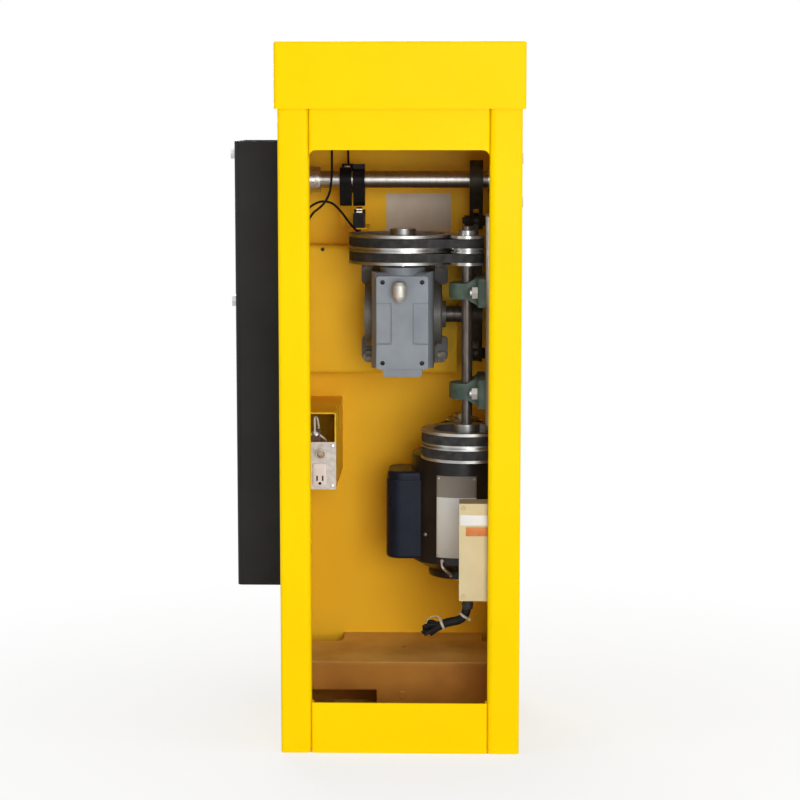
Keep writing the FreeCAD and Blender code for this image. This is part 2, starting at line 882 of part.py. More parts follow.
def switch_lever(index):
    """Leaf with a pivot pin at one end and a roller under the cam's lobe at the other."""
    x = switch_middle(index)
    half = switch_width / 2 - switch_ear - side_gap
    pivot_y, pivot_z = switch_pivot()
    leaf_end = pivot_y + switch_lever_length
    leaf = block(x - half, x + half, pivot_y, leaf_end, pivot_z - switch_lever_thickness / 2,
                 pivot_z + switch_lever_thickness / 2)
    pin = cylinder("X", pivot_y, pivot_z, switch_pivot_radius, x - switch_width / 2, x + switch_width / 2)
    roller_z = pivot_z + switch_lever_thickness / 2 + switch_roller_radius - switch_roller_seat
    roller = cylinder("X", arm_y, roller_z, switch_roller_radius, x - half, x + half)
    return leaf.multiFuse([pin, roller]).removeSplitter()


def limit_switch_bracket():
    """Folded shelf on the front wall under one switch, with an upstand behind the other."""
    x0 = cam_place(1)[0] - switch_bracket_margin
    x1 = cam_place(0)[1] + switch_bracket_margin
    base = switch_base_z()
    under = base - switch_bracket_thickness
    run = [(inner_front, base + switch_wall_flange), (inner_front, under), (arm_y + switch_length / 2, under)]
    shelf = bent_sheet("X", run, 1, switch_bracket_thickness, fold, x0, x1)
    face_y = arm_y - switch_drop
    back_y = face_y - switch_bracket_thickness
    x = switch_middle(0)
    half = switch_width / 2 + switch_upstand_margin
    outline = rectangle(x - half, x + half, under, arm_z + switch_length / 2)
    upstand = prism("Y", outline, back_y, face_y, [0, 0, switch_upstand_margin, switch_upstand_margin])
    wide = switch_slot_width / 2
    tall = switch_slot_length / 2
    x_open = switch_middle(1)
    cuts = [block(x_open - wide, x_open + wide, arm_y - tall, arm_y + tall, under, base),
            block(x - wide, x + wide, back_y, face_y, arm_z - tall, arm_z + tall),
            block(cam_place(1)[1] + switch_bracket_margin, x1, face_y, arm_y + switch_length / 2, under, base)]
    return cut_all(shelf.fuse(upstand).removeSplitter(), cuts)


# Worm reducer

def reducer_bracket():
    """Channel welded to the front wall that carries the reducer's foot."""
    low = output_z - reducer_bracket_height / 2
    high = output_z + reducer_bracket_height / 2
    run = [(inner_front, high), (mount_y, high), (mount_y, low), (inner_front, low)]
    far_end = reducer_x - reducer_bracket_overhang
    plate = bent_sheet("X", run, -1, reducer_bracket_thickness, fold, far_end, inner_x)
    plate = plate.common(floor_blank(low, high))
    return cut_all(plate, [bolt_hole("Y", x, z, inner_front, mount_y) for x, z in foot_bolt_places()])


def foot_bolt_places():
    x = foot_width / 2 - foot_bolt_inset
    z = foot_height / 2 - foot_bolt_inset
    return [(reducer_x + a * x, output_z + b * z) for a in (-1, 1) for b in (-1, 1)]


def reducer_foot():
    """Foot flange with four lugs and a waist between them on each side."""
    half = foot_width / 2
    tall = foot_height / 2
    waist = half - foot_waist
    lug = tall - foot_lug
    points = [(-half, -tall), (half, -tall), (half, -lug), (waist, -lug), (waist, lug), (half, lug),
              (half, tall), (-half, tall), (-half, lug), (-waist, lug), (-waist, -lug), (-half, -lug)]
    points = [(reducer_x + x, output_z + z) for x, z in points]
    lug_round = foot_lug_share * foot_waist
    radii = [foot_corner, foot_corner, lug_round, lug_round, lug_round, lug_round] * 2
    return prism("Y", points, mount_y, mount_y + foot_thickness, radii)


def reducer_housing():
    half = case_width / 2
    low = output_z - case_below
    pad_back = pad_y - pad_thickness
    side = rectangle(mount_y, pad_back, low, case_top)
    case = prism("X", side, reducer_x - half, reducer_x + half, [0, case_corner / 2, case_corner / 2, 0])
    plan = rectangle(reducer_x - half, reducer_x + half, mount_y, pad_back)
    case = case.common(prism("Z", plan, low, case_top, [0, 0, case_corner, case_corner]))
    pad_outline = rectangle(reducer_x - pad_width / 2, reducer_x + pad_width / 2,
                            output_z - pad_below, output_z + pad_above)
    pad = prism("Y", pad_outline, pad_back, pad_y, pad_corner)
    chin_outline = rectangle(reducer_x - chin_width / 2, reducer_x + chin_width / 2,
                             low - chin_height, low + case_corner / 2)
    chin = prism("Y", chin_outline, worm_y - tower_radius, pad_back, chin_corner)
    tower = cylinder("Z", reducer_x, worm_y, tower_radius, low, tower_top)
    blind_face = reducer_x + half + case_boss_reach + end_cover_thickness
    boss = cylinder("X", output_y, output_z, case_boss_radius, case_face_x, blind_face)
    housing = case.multiFuse([reducer_foot(), pad, chin, tower, boss]).removeSplitter()
    return cut_all(housing, reducer_cavity() + pad_cuts())


def reducer_cavity():
    """Room for the wheel and worm, bores for their shafts, and the foot's bolt holes."""
    half = wheel_width / 2 + cavity_gap
    wheel = cylinder("X", output_y, output_z, wheel_tip_radius + cavity_gap, reducer_x - half, reducer_x + half)
    reach = wheel_tip_radius + cavity_gap
    worm = cylinder("Z", reducer_x, worm_y, worm_radius + cavity_gap, output_z - reach, output_z + reach)
    output_bore = cylinder("X", output_y, output_z, output_radius + running_clearance,
                           case_face_x, reducer_x + case_width / 2 - pad_thickness)
    input_bore = cylinder("Z", reducer_x, worm_y, input_radius + running_clearance,
                          worm_bottom(), tower_top)
    holes = [bolt_hole("Y", x, z, mount_y, mount_y + foot_thickness) for x, z in foot_bolt_places()]
    return [wheel, worm, output_bore, input_bore] + holes


def pad_cuts():
    """Four tapped holes, the breather's hole and the shallow recess on each side of the pad."""
    x = pad_width / 2 - pad_hole_inset
    top = output_z + pad_above - pad_hole_inset
    low = output_z - pad_below + pad_hole_inset
    cuts = [cylinder("Y", reducer_x + a * x, z, pad_hole_radius, pad_y - pad_hole_depth, pad_y)
            for a in (-1, 1) for z in (low, top)]
    for side in (-1, 1):
        near = reducer_x + side * panel_rib / 2
        far = reducer_x + side * pad_width / 2
        outline = rectangle(near, far, output_z - panel_below, output_z + panel_above)
        cuts.append(prism("Y", outline, pad_y - panel_recess, pad_y, [panel_corner, 0, 0, panel_corner]))
    cuts.append(cylinder("Y", reducer_x + breather_x, output_z + breather_height, breather_stub_radius,
                         pad_y - breather_stub_length, pad_y))
    return cuts


def reducer_end_cover():
    """Bearing cover and seal boss where the output shaft leaves the case."""
    bore = output_radius + running_clearance
    edge = case_face_x - end_cover_thickness
    lip = edge - seal_boss_length
    rim = end_cover_radius - end_cover_edge
    profile = [(bore, case_face_x), (end_cover_radius, case_face_x), (end_cover_radius, edge + end_cover_edge),
               (rim, edge), (seal_boss_radius, edge), (seal_boss_radius, lip), (bore, lip)]
    return lathe("X", output_y, output_z, profile)


def breather_plug():
    x = reducer_x + breather_x
    z = output_z + breather_height
    y = pad_y + breather_stub_length + breather_radius
    stub = cylinder("Y", x, z, breather_stub_radius, pad_y - breather_stub_length, y)
    low = z - breather_body / 2
    top = low + breather_body
    profile = [(0, low - breather_tip), (breather_nose_radius, low - breather_tip),
               (breather_waist_radius, low), (breather_radius, low + breather_tip),
               (breather_radius, top - breather_shoulder),
               (breather_crown_radius, top - breather_crown), (0, top)]
    return lathe("Z", x, y, profile).fuse(stub).removeSplitter()


def worm_bottom():
    return output_z - case_below + pad_thickness


def worm_shaft():
    top = upper_pulley_z + pulley_face / 2 + pulley_hub_rise
    reach = wheel_tip_radius
    shaft = cylinder("Z", reducer_x, worm_y, input_radius, worm_bottom(), top)
    worm = cylinder("Z", reducer_x, worm_y, worm_radius, output_z - reach, output_z + reach)
    return shaft.fuse(worm).removeSplitter()


# Pulleys and belts

def ring_groove(outer, z, mouth_half, floor_half, depth):
    """Outline of a groove round a pulley, from its lower lip to its upper one."""
    return [(outer, z - mouth_half), (outer - depth, z - floor_half),
            (outer - depth, z + floor_half), (outer, z + mouth_half)]


def pulley(x, y, z, outer, bore, hub, dished):
    """Two-groove pulley with a split land; a dished one has a rim, a thin web and a raised hub."""
    low = z - pulley_face / 2
    high = z + pulley_face / 2
    floor_half = groove_half_width - groove_depth * groove_slope
    lower = ring_groove(outer, z - groove_pitch / 2, groove_half_width, floor_half, groove_depth)
    split = ring_groove(outer, z, land_split / 2, land_split / 2, land_split_depth)
    upper = ring_groove(outer, z + groove_pitch / 2, groove_half_width, floor_half, groove_depth)
    rim = [(outer, low)] + lower + split + upper + [(outer, high)]
    if dished:
        inside = outer - pulley_rim
        under = [(hub, low), (hub, z - pulley_web / 2), (inside, z - pulley_web / 2), (inside, low)]
        over = [(inside, high), (inside, z + pulley_web / 2), (hub, z + pulley_web / 2)]
        profile = [(bore, low)] + under + rim + over
    else:
        profile = [(bore, low)] + rim + [(hub, high)]
    top = high + pulley_hub_rise
    return lathe("Z", x, y, profile + [(hub, top), (bore, top)])


def belt(x0, y0, outer0, x1, y1, outer1, z):
    """V-belt round two pulleys, just clear of their grooves."""
    wide = groove_half_width - belt_sink * groove_slope - belt_gap
    narrow = wide - belt_thickness * groove_slope
    a = Vector(x0, y0, z)
    b = Vector(x1, y1, z)
    way = (b - a).normalize()
    across = Vector(-way.y, way.x, 0)
    lean = math.acos((outer0 - outer1) / a.distanceToPoint(b))
    up = Vector(0, 0, 1)

    def section(centre, outer, normal):
        top = centre + normal * (outer - belt_sink)
        bottom = top - normal * belt_thickness
        points = [top + up * wide, top - up * wide, bottom - up * narrow, bottom + up * narrow]
        return Part.Face(Part.makePolygon(points + points[:1]))

    left = way * math.cos(lean) + across * math.sin(lean)
    right = way * math.cos(lean) - across * math.sin(lean)
    pieces = []
    for normal in (left, right):
        start = a + normal * outer0
        stop = b + normal * outer1
        pieces.append(section(a, outer0, normal).extrude(stop - start))
    wrap = math.degrees(lean)
    pieces.append(section(a, outer0, left).revolve(a, up, 360 - 2 * wrap))
    pieces.append(section(b, outer1, right).revolve(b, up, 2 * wrap))
    return pieces[0].multiFuse(pieces[1:]).removeSplitter()


def drive_belts():
    belts = []
    for side in (-1, 1):
        offset = side * groove_pitch / 2
        belts.append(belt(reducer_x, worm_y, reducer_pulley_radius, counter_x, counter_y,
                          countershaft_small_radius, upper_pulley_z + offset))
        belts.append(belt(counter_x, counter_y, countershaft_large_radius, motor_x, motor_y,
                          motor_pulley_radius, lower_pulley_z + offset))
    return Part.makeCompound(belts)


# Countershaft

def countershaft():
    top = upper_pulley_z + pulley_face / 2 + pulley_hub_rise + countershaft_end
    bottom = lower_pulley_z - pulley_face / 2
    return cylinder("Z", counter_x, counter_y, countershaft_radius, bottom, top)


def pillow_bolt_places():
    half = pillow_foot_span / 2
    return [(counter_y + side * half, z) for z in (upper_pillow_z, lower_pillow_z) for side in (-1, 1)]


def pillow_block(z):
    """Cast block whose foot lies on the bracket and whose bore carries the countershaft."""
    low = z - pillow_foot_height / 2
    high = z + pillow_foot_height / 2
    half = pillow_length / 2
    foot_face = bracket_face_x + pillow_foot
    shoulder = pillow_dome_radius
    round_foot = pillow_foot / 2
    outline = [(bracket_face_x, counter_y - half), (foot_face, counter_y - half),
               (foot_face, counter_y - shoulder), (counter_x, counter_y - shoulder),
               (counter_x, counter_y + shoulder), (foot_face, counter_y + shoulder),
               (foot_face, counter_y + half), (bracket_face_x, counter_y + half)]
    radii = [0, round_foot, round_foot, 0, 0, round_foot, round_foot, 0]
    casting = prism("Z", outline, low, high, radii)
    casting = casting.fuse(cylinder("Z", counter_x, counter_y, pillow_dome_radius, low, high)).removeSplitter()
    dome = pillow_dome_height / 2
    dome_end = counter_x + pillow_dome_radius
    side = [(bracket_face_x, low), (foot_face, low), (counter_x, z - dome), (dome_end, z - dome),
            (dome_end, z + dome), (counter_x, z + dome), (foot_face, high), (bracket_face_x, high)]
    edges = [0, pillow_edge, pillow_edge, pillow_edge, pillow_edge, pillow_edge, pillow_edge, 0]
    casting = casting.common(prism("Y", side, counter_y - half, counter_y + half, edges))
    cuts = [cylinder("Z", counter_x, counter_y, countershaft_radius + running_clearance, low, high)]
    cuts += [bolt_hole("X", y, bolt_z, bracket_face_x, foot_face)
             for y, bolt_z in pillow_bolt_places() if low < bolt_z < high]
    return cut_all(casting, cuts)


def countershaft_bracket():
    """Channel on the far wall whose web carries both pillow blocks."""
    half = countershaft_bracket_width / 2
    run = [(-inner_x, counter_y + half), (bracket_face_x, counter_y + half),
           (bracket_face_x, counter_y - half), (-inner_x, counter_y - half)]
    plate = bent_sheet("Z", run, -1, countershaft_bracket_thickness, fold,
                       lower_pillow_z - countershaft_bracket_below, upper_pillow_z + countershaft_bracket_above)
    back = bracket_face_x - 2 * countershaft_bracket_thickness
    return cut_all(plate, [bolt_hole("X", y, z, back, bracket_face_x) for y, z in pillow_bolt_places()])


# Motor

def motor_shell():
    bore = motor_shaft_radius + motor_shell_gap
    return tube("Z", motor_x, motor_y, motor_radius, bore, motor_bottom + bell_height, motor_top - bell_height)


def motor_bell(way, end, taper, taper_height, boss_radius, boss_height):
    """End cover of the shell: a tapered rim and a round boss; way is 1 at the top."""
    bore = motor_shaft_radius + running_clearance
    seat = end - way * bell_height
    boss = end + way * boss_height
    profile = [(bore, seat), (motor_radius, seat), (motor_radius, end - way * taper_height),
               (motor_radius - taper, end), (boss_radius, end), (boss_radius, boss), (bore, boss)]
    return lathe("Z", motor_x, motor_y, profile)


def motor_end_bells():
    """Upper cover with a ring of vents round the shaft's boss, and a tapered lower one."""
    upper = motor_bell(1, motor_top, bell_step, bell_step_height, bell_boss_radius, bell_boss_height)
    ring = (motor_radius - bell_step + bell_boss_radius) / 2
    vents = []
    for i in range(motor_vents):
        angle = 2 * math.pi * (i + 0.5) / motor_vents
        vents.append(cylinder("Z", motor_x + ring * math.cos(angle), motor_y + ring * math.sin(angle),
                              motor_vent_radius, motor_top - bell_step_height, motor_top))
    lower = motor_bell(-1, motor_bottom, bell_taper, bell_taper_height, bell_foot_radius, bell_foot_height)
    return Part.makeCompound([cut_all(upper, vents), lower])


def motor_shaft():
    top = lower_pulley_z + pulley_face / 2 + pulley_hub_rise
    bottom = motor_bottom - bell_foot_height - motor_stub
    return cylinder("Z", motor_x, motor_y, motor_shaft_radius, bottom, top)


def cradle_bolt_places():
    x = cradle_width / 2 - cradle_bolt_inset
    middle = (motor_top + motor_bottom) / 2
    z = motor_length / 2 - cradle_inset - cradle_bolt_inset
    return [(motor_x + a * x, middle + b * z) for a in (-1, 1) for b in (-1, 1)]


def motor_mount():
    """Plate on the front wall with two saddles that fit the motor's shell."""
    half = cradle_width / 2
    plate_face = inner_front + cradle_plate_thickness
    low = motor_bottom + cradle_inset
    high = motor_top - cradle_inset
    margin = cradle_plate_margin
    plate = block(motor_x - half, motor_x + half, inner_front, plate_face, low - margin, high + margin)
    saddles = []
    angle = math.radians(saddle_half_angle)
    tip_x = motor_radius * math.sin(angle)
    tip_y = motor_y - motor_radius * math.cos(angle)
    for z in (low, high - cradle_thickness):
        outline = [(motor_x - half, plate_face), (motor_x + half, plate_face), (motor_x + tip_x, tip_y),
                   (motor_x, tip_y + saddle_overlap), (motor_x - tip_x, tip_y)]
        saddles.append(prism("Z", outline, z, z + cradle_thickness))
    mount = plate.multiFuse(saddles).removeSplitter()
    cuts = [cylinder("Z", motor_x, motor_y, motor_radius, low - margin, high + margin)]
    cuts += [bolt_hole("Y", x, z, inner_front, plate_face) for x, z in cradle_bolt_places()]
    return cut_all(mount, cuts)


def capacitor_outline(inset):
    half = capacitor_width / 2 - inset
    end_x = motor_x + motor_radius + capacitor_reach - inset
    return rectangle(motor_x, end_x, motor_y - half, motor_y + half)


def capacitor_cover():
    """Round-ended cover on the motor's side, with a lid set in a little at its top."""
    low = motor_bottom + capacitor_lift
    top = low + capacitor_height
    radii = [0, capacitor_corner, capacitor_corner, 0]
    body = prism("Z", capacitor_outline(0), low, top - capacitor_lid, radii)
    lid = prism("Z", capacitor_outline(capacitor_lid_inset), top - capacitor_lid, top, radii)
    cover = body.fuse(lid).removeSplitter()
    ends = [e for e in cover.Edges if e.BoundBox.ZLength < 0.01 and e.BoundBox.XMax > motor_x + motor_radius
            and abs(e.BoundBox.ZMin - (top - capacitor_lid)) > capacitor_edge]
    cover = cover.makeFillet(capacitor_edge, ends)
    return cover.cut(cylinder("Z", motor_x, motor_y, motor_radius, low, top))


def drive_bolts():
    """Bolts of the reducer's foot, the pillow blocks and the motor mount."""
    solids = []
    for x, z in foot_bolt_places():
        solids += bolt("Y", x, z, mount_y + foot_thickness, mount_y - reducer_bracket_thickness)
    for y, z in pillow_bolt_places():
        solids += bolt("X", y, z, bracket_face_x - countershaft_bracket_thickness, bracket_face_x + pillow_foot)
    plate_face = inner_front + cradle_plate_thickness
    for x, z in cradle_bolt_places():
        stud = cylinder("Y", x, z, bolt_radius, inner_front, plate_face + nut_height + bolt_end)
        nut = hexagon("Y", x, z, bolt_flats, plate_face, plate_face + nut_height)
        solids += [stud, nut.cut(stud)]
    return Part.makeCompound(solids)


# Electrical boxes and leads

def control_ends():
    """Lower and upper Y of the control box, its cover included."""
    face = half_depth - control_setback
    return face - control_width, face


def control_box():
    y0, y1 = control_ends()
    face = control_depth - inner_x
    y1 = y1 - control_cover_thickness
    box = block(-inner_x, face, y0, y1, control_floor, control_top)
    sheet = control_sheet
    room = block(sheet - inner_x, face - sheet, y0 + sheet, y1, control_floor + sheet, control_top - sheet)
    return box.cut(room)


def control_box_cover():
    y1 = control_ends()[1]
    outline = rectangle(-inner_x, control_depth - inner_x, control_floor, control_top)
    return prism("Y", outline, y1 - control_cover_thickness, y1, control_sheet)


def junction_front():
    return inner_front + junction_depth


def junction_box():
    """Folded trough against the arm-side wall, open towards the service side."""
    face = inner_x - junction_reach
    top = junction_floor + junction_height
    run = [(inner_x, top), (face, top), (face, junction_floor), (inner_x, junction_floor)]
    trough = bent_sheet("Y", run, 1, junction_sheet, junction_fold, inner_front, junction_front())
    trough = trough.common(floor_blank(junction_floor, top))
    return cut_all(trough, [cylinder("Z", p.x, p.y, bushing_radius, top - junction_sheet, top)
                            for p in bushing_places()])


def toggle_place():
    return inner_x - junction_reach + toggle_inset, junction_floor + toggle_rise


def switch_plate():
    """Galvanised plate that closes the lower front of the junction box."""
    y0 = junction_front()
    y1 = y0 + switch_plate_thickness
    outline = rectangle(inner_x - junction_reach, inner_x, junction_floor, junction_floor + switch_plate_height)
    plate = prism("Y", outline, y0, y1, junction_fold)
    x, z = toggle_place()
    bushing = cylinder("Y", x, z, toggle_ball_radius + toggle_bushing_wall, y0, y1 + toggle_bushing)
    socket = Part.makeSphere(toggle_ball_radius + side_gap, Vector(x, y1 + toggle_bushing, z))
    return plate.fuse(bushing).removeSplitter().cut(socket)


def toggle_lever():
    """Toggle tilted to its upper place, in the plate's ball socket."""
    x, z = toggle_place()
    centre = Vector(x, junction_front() + switch_plate_thickness + toggle_bushing, z)
    tilt = math.radians(toggle_tilt)
    way = Vector(0, math.cos(tilt), math.sin(tilt))
    stem = Part.makeCone(toggle_root_radius, toggle_radius, toggle_length, centre, way)
    return Part.makeSphere(toggle_ball_radius, centre).fuse(stem).removeSplitter()


def bushing_places():
    """Where the two switch leads leave the top of the junction box."""
    top = junction_floor + junction_height
    front = junction_front() - bushing_setback
    return [Vector(inner_x - bushing_inset, front - i * bushing_pitch, top) for i in (0, 1)]


def wire_bushings():
    solids = []
    for place in bushing_places():
        low = place.z - junction_sheet - bushing_flange
        top = place.z + bushing_height
        profile = [(0, low), (bushing_flange_radius, low), (bushing_flange_radius, low + bushing_flange),
                   (bushing_radius, low + bushing_flange), (bushing_radius, place.z),
                   (bushing_flange_radius, place.z), (bushing_flange_radius, place.z + bushing_flange),
                   (bushing_radius, top), (0, top)]
        solids.append(lathe("Z", place.x, place.y, profile))
    return Part.makeCompound(solids)


def lead(points, radius):
    """Round lead along straight runs joined by arcs as large as the runs allow."""
    radii = [0.0]
    for before, point, after in zip(points, points[1:], points[2:]):
        turn = (point - before).getAngle(after - point)
        shorter = min(point.distanceToPoint(before), after.distanceToPoint(point))
        radii.append(0.45 * shorter / math.tan(turn / 2))
    radii.append(0.0)
    path = rounded_path(points, radii, False)
    start = Part.Wire(Part.makeCircle(radius, points[0], points[1] - points[0]))
    return path.makePipeShell([start], True, False)


def between(start, end, shares):
    """Route points given as shares of the way from start to end along each axis."""
    span = end - start
    return [start + Vector(a * span.x, b * span.y, c * span.z) for a, b, c in shares]


def open_switch_lead():
    """From the junction box up behind the flange, then across and down to the open switch's front tab."""
    start = bushing_places()[0] + Vector(0, 0, bushing_height)
    end = Vector(switch_middle(1), arm_y + switch_tab_pitch + switch_tab_thickness / 2,
                 switch_base_z() - switch_tab_length / 2 - switch_tab_thickness / 2)
    rise = [(0, 0, 0), (0, 0, 0.136), (-0.012, -0.031, 0.318), (0.012, -0.016, 0.523), (0, 0.031, 0.729),
            (-0.023, 0.093, 0.926), (0.023, 0.171, 1.062)]
    fall = [(0.165, 0.248, 1.147), (0.374, 0.31, 1.182), (0.559, 0.372, 1.171), (0.71, 0.465, 1.12),
            (0.838, 0.574, 1.058), (0.942, 0.698, 1.012), (1, 0.86, 1), (1, 1, 1)]
    return lead(between(start, end, rise + fall), lead_radius)


def close_switch_lead():
    """From the junction box up in front of the shaft, over it and down to the close switch's upper tab."""
    start = bushing_places()[1] + Vector(0, 0, bushing_height)
    end = Vector(switch_middle(0), arm_y - switch_drop - (switch_tab_length + switch_tab_thickness) / 2,
                 arm_z + switch_tab_pitch + switch_tab_thickness / 2)
    rise = [(0, 0, 0), (0, 0, 0.095), (0.03, -0.007, 0.228), (0, 0.014, 0.372), (-0.015, 0, 0.522),
            (0.015, -0.007, 0.667), (0.106, 0, 0.765), (0.306, -0.029, 0.83), (0.532, -0.029, 0.861),
            (0.683, -0.007, 0.908), (0.728, 0.036, 0.98)]
    fall = [(0.728, 0.086, 1.066), (0.713, 0.165, 1.153), (0.728, 0.302, 1.228), (0.789, 0.475, 1.268),
            (0.864, 0.669, 1.26), (0.94, 0.842, 1.214), (0.985, 0.957, 1.136), (1, 1, 1.058), (1, 1, 1)]
    return lead(between(start, end, rise + fall), lead_radius)


def harness_bundle():
    """Tied bundle of leads with cut ends that hangs below the control box."""
    start = Vector(control_depth - inner_x - bundle_inset, control_ends()[1] - bundle_setback, control_floor)
    moves = [(0, 0, 0), (0, 0, -2.9), (1.5, 0, -5.1), (4.5, 0.15, -5.5), (6.8, 0.3, -6.5), (8.6, 0.3, -7.9)]
    return lead([start + Vector(*move) * bundle_radius for move in moves], bundle_radius)


def build():
    os.makedirs("parts", exist_ok=True)
    save("cabinet_wrap", cabinet_wrap())
    save("back_top_rail", back_top_rail())
    save("back_bottom_rail", back_bottom_rail())
    save("base_frame", base_frame())
    save("base_shelf", base_shelf())
    save("cap", cap())
    save("cap_lock_ring", cap_lock_ring())
    save("cap_lock_plug", cap_lock_plug())
    save("lock_catch", lock_catch())
    save("arm_bearing_near", arm_bearing(1))
    save("arm_bearing_far", arm_bearing(-1))
    save("bearing_bolts", bearing_bolts())
    save("arm_shaft", arm_shaft())
    save("shaft_collars", shaft_collars())
    save("arm_hub_plate", arm_hub_plate())
    save("arm_channel", arm_channel())
    save("channel_bolts", channel_bolts())
    save("drive_lever", forked_lever(arm_y, arm_z, lever_hub_radius, shaft_radius))
    save("lever_pin", pivot_pin(arm_y, arm_z))
    save("connecting_rod", connecting_rod())
    save("crank_arm", forked_lever(output_y, output_z, crank_hub_radius, output_radius))
    save("crank_pin", pivot_pin(output_y, output_z))
    save("output_shaft", output_shaft())
    save("worm_wheel", worm_wheel())
    save("close_limit_cam", limit_cam(0, 90))
    save("open_limit_cam", limit_cam(1, 0))
    save("limit_switch_bracket", limit_switch_bracket())
    save("open_limit_switch", limit_switch(1))
    save("close_limit_switch", facing_front(limit_switch(0)))
    save("open_switch_lever", switch_lever(1))
    save("close_switch_lever", facing_front(switch_lever(0)))
    save("reducer_bracket", reducer_bracket())
    save("reducer_housing", reducer_housing())
    save("reducer_end_cover", reducer_end_cover())
    save("breather_plug", breather_plug())
    save("worm_shaft", worm_shaft())
    save("reducer_pulley", pulley(reducer_x, worm_y, upper_pulley_z, reducer_pulley_radius, input_radius,
                                  pulley_hub_radius, True))
    save("drive_belts", drive_belts())
    save("countershaft", countershaft())
    save("countershaft_small_pulley", pulley(counter_x, counter_y, upper_pulley_z, countershaft_small_radius,
                                             countershaft_radius, small_hub_radius, False))
    save("countershaft_large_pulley", pulley(counter_x, counter_y, lower_pulley_z, countershaft_large_radius,
                                             countershaft_radius, pulley_hub_radius, True))
    save("upper_pillow_block", pillow_block(upper_pillow_z))
    save("lower_pillow_block", pillow_block(lower_pillow_z))
    save("countershaft_bracket", countershaft_bracket())
    save("drive_bolts", drive_bolts())
    save("motor_shell", motor_shell())
    save("motor_end_bells", motor_end_bells())
    save("motor_shaft", motor_shaft())
    save("motor_pulley", pulley(motor_x, motor_y, lower_pulley_z, motor_pulley_radius, motor_shaft_radius,
                                small_hub_radius, False))
    save("motor_mount", motor_mount())
    save("capacitor_cover", capacitor_cover())
    save("control_box", control_box())
    save("control_box_cover", control_box_cover())
    save("junction_box", junction_box())
    save("switch_plate", switch_plate())
    save("toggle_lever", toggle_lever())
    save("wire_bushings", wire_bushings())
    save("open_switch_lead", open_switch_lead())
    save("close_switch_lead", close_switch_lead())
    save("harness_bundle", harness_bundle())


build()
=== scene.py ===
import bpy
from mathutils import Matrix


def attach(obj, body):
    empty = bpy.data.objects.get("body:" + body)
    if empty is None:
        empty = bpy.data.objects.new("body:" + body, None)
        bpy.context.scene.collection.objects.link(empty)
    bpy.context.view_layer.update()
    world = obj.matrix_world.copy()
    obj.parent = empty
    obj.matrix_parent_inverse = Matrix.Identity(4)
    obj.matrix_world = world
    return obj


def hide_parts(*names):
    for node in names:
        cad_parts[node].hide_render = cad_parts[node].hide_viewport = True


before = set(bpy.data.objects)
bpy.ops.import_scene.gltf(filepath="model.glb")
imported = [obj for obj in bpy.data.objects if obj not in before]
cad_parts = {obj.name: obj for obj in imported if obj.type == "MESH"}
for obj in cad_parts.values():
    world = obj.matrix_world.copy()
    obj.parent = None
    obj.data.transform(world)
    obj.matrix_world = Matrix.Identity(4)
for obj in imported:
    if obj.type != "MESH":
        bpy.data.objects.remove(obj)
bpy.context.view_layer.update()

import math

import bpy
from mathutils import Matrix, Vector


# Base ring: a flat steel frame under the walls with four holes for the anchor bolts.
# It is cut from plate and coated with the cabinet in a dusty brown ochre, made lighter than the shade under
# the shelf leaves it: painted light.
def new_finish(name, colour, roughness, metallic=0.0, shine=0.5):
    """A finish with one colour, whose unevenness is added by the piece that wears it."""
    made = bpy.data.materials.new(name)
    made.use_nodes = True
    shader = made.node_tree.nodes["Principled BSDF"]
    shader.inputs["Base Color"].default_value = (*colour, 1)
    shader.inputs["Roughness"].default_value = roughness
    shader.inputs["Metallic"].default_value = metallic
    shader.inputs["Specular IOR Level"].default_value = shine
    return made


def lead_to(made, result, entry):
    """Leads a step's result to the finish's shader."""
    made.node_tree.links.new(result, made.node_tree.nodes["Principled BSDF"].inputs[entry])


def add_noise(made, scale, detail, stretch=(1, 1, 1)):
    """Noise on the piece's own coordinates, stretched where the surface is drawn or brushed."""
    nodes = made.node_tree.nodes
    place = nodes.new("ShaderNodeTexCoord")
    turn = nodes.new("ShaderNodeMapping")
    turn.inputs["Scale"].default_value = stretch
    noise = nodes.new("ShaderNodeTexNoise")
    noise.inputs["Scale"].default_value = scale
    noise.inputs["Detail"].default_value = detail
    made.node_tree.links.new(place.outputs["Object"], turn.inputs["Vector"])
    made.node_tree.links.new(turn.outputs["Vector"], noise.inputs["Vector"])
    return noise.outputs["Fac"]


def mottle(made, scale, dark, light, detail=4.0, stretch=(1, 1, 1), low=0.35, high=0.65):
    """Colour that wanders between two tones."""
    ramp = made.node_tree.nodes.new("ShaderNodeValToRGB")
    ramp.color_ramp.elements[0].position = low
    ramp.color_ramp.elements[1].position = high
    ramp.color_ramp.elements[0].color = (*dark, 1)
    ramp.color_ramp.elements[1].color = (*light, 1)
    made.node_tree.links.new(add_noise(made, scale, detail, stretch), ramp.inputs["Fac"])
    lead_to(made, ramp.outputs["Color"], "Base Color")
    return ramp.outputs["Color"]


def uneven_gloss(made, scale, low, high, stretch=(1, 1, 1)):
    """Roughness that wanders between two values, as handling and dust leave it."""
    lead_to(made, fade(made, add_noise(made, scale, 3.0, stretch), 0.3, 0.7, high, low), "Roughness")


def relief(made, height, strength, distance):
    """Raises the surface by a step's result."""
    bump = made.node_tree.nodes.new("ShaderNodeBump")
    bump.inputs["Strength"].default_value = strength
    bump.inputs["Distance"].default_value = distance
    made.node_tree.links.new(height, bump.inputs["Height"])
    lead_to(made, bump.outputs["Normal"], "Normal")


def grain(made, scale, strength, distance):
    """Fine relief of the surface itself."""
    relief(made, add_noise(made, scale, 2.0), strength, distance)


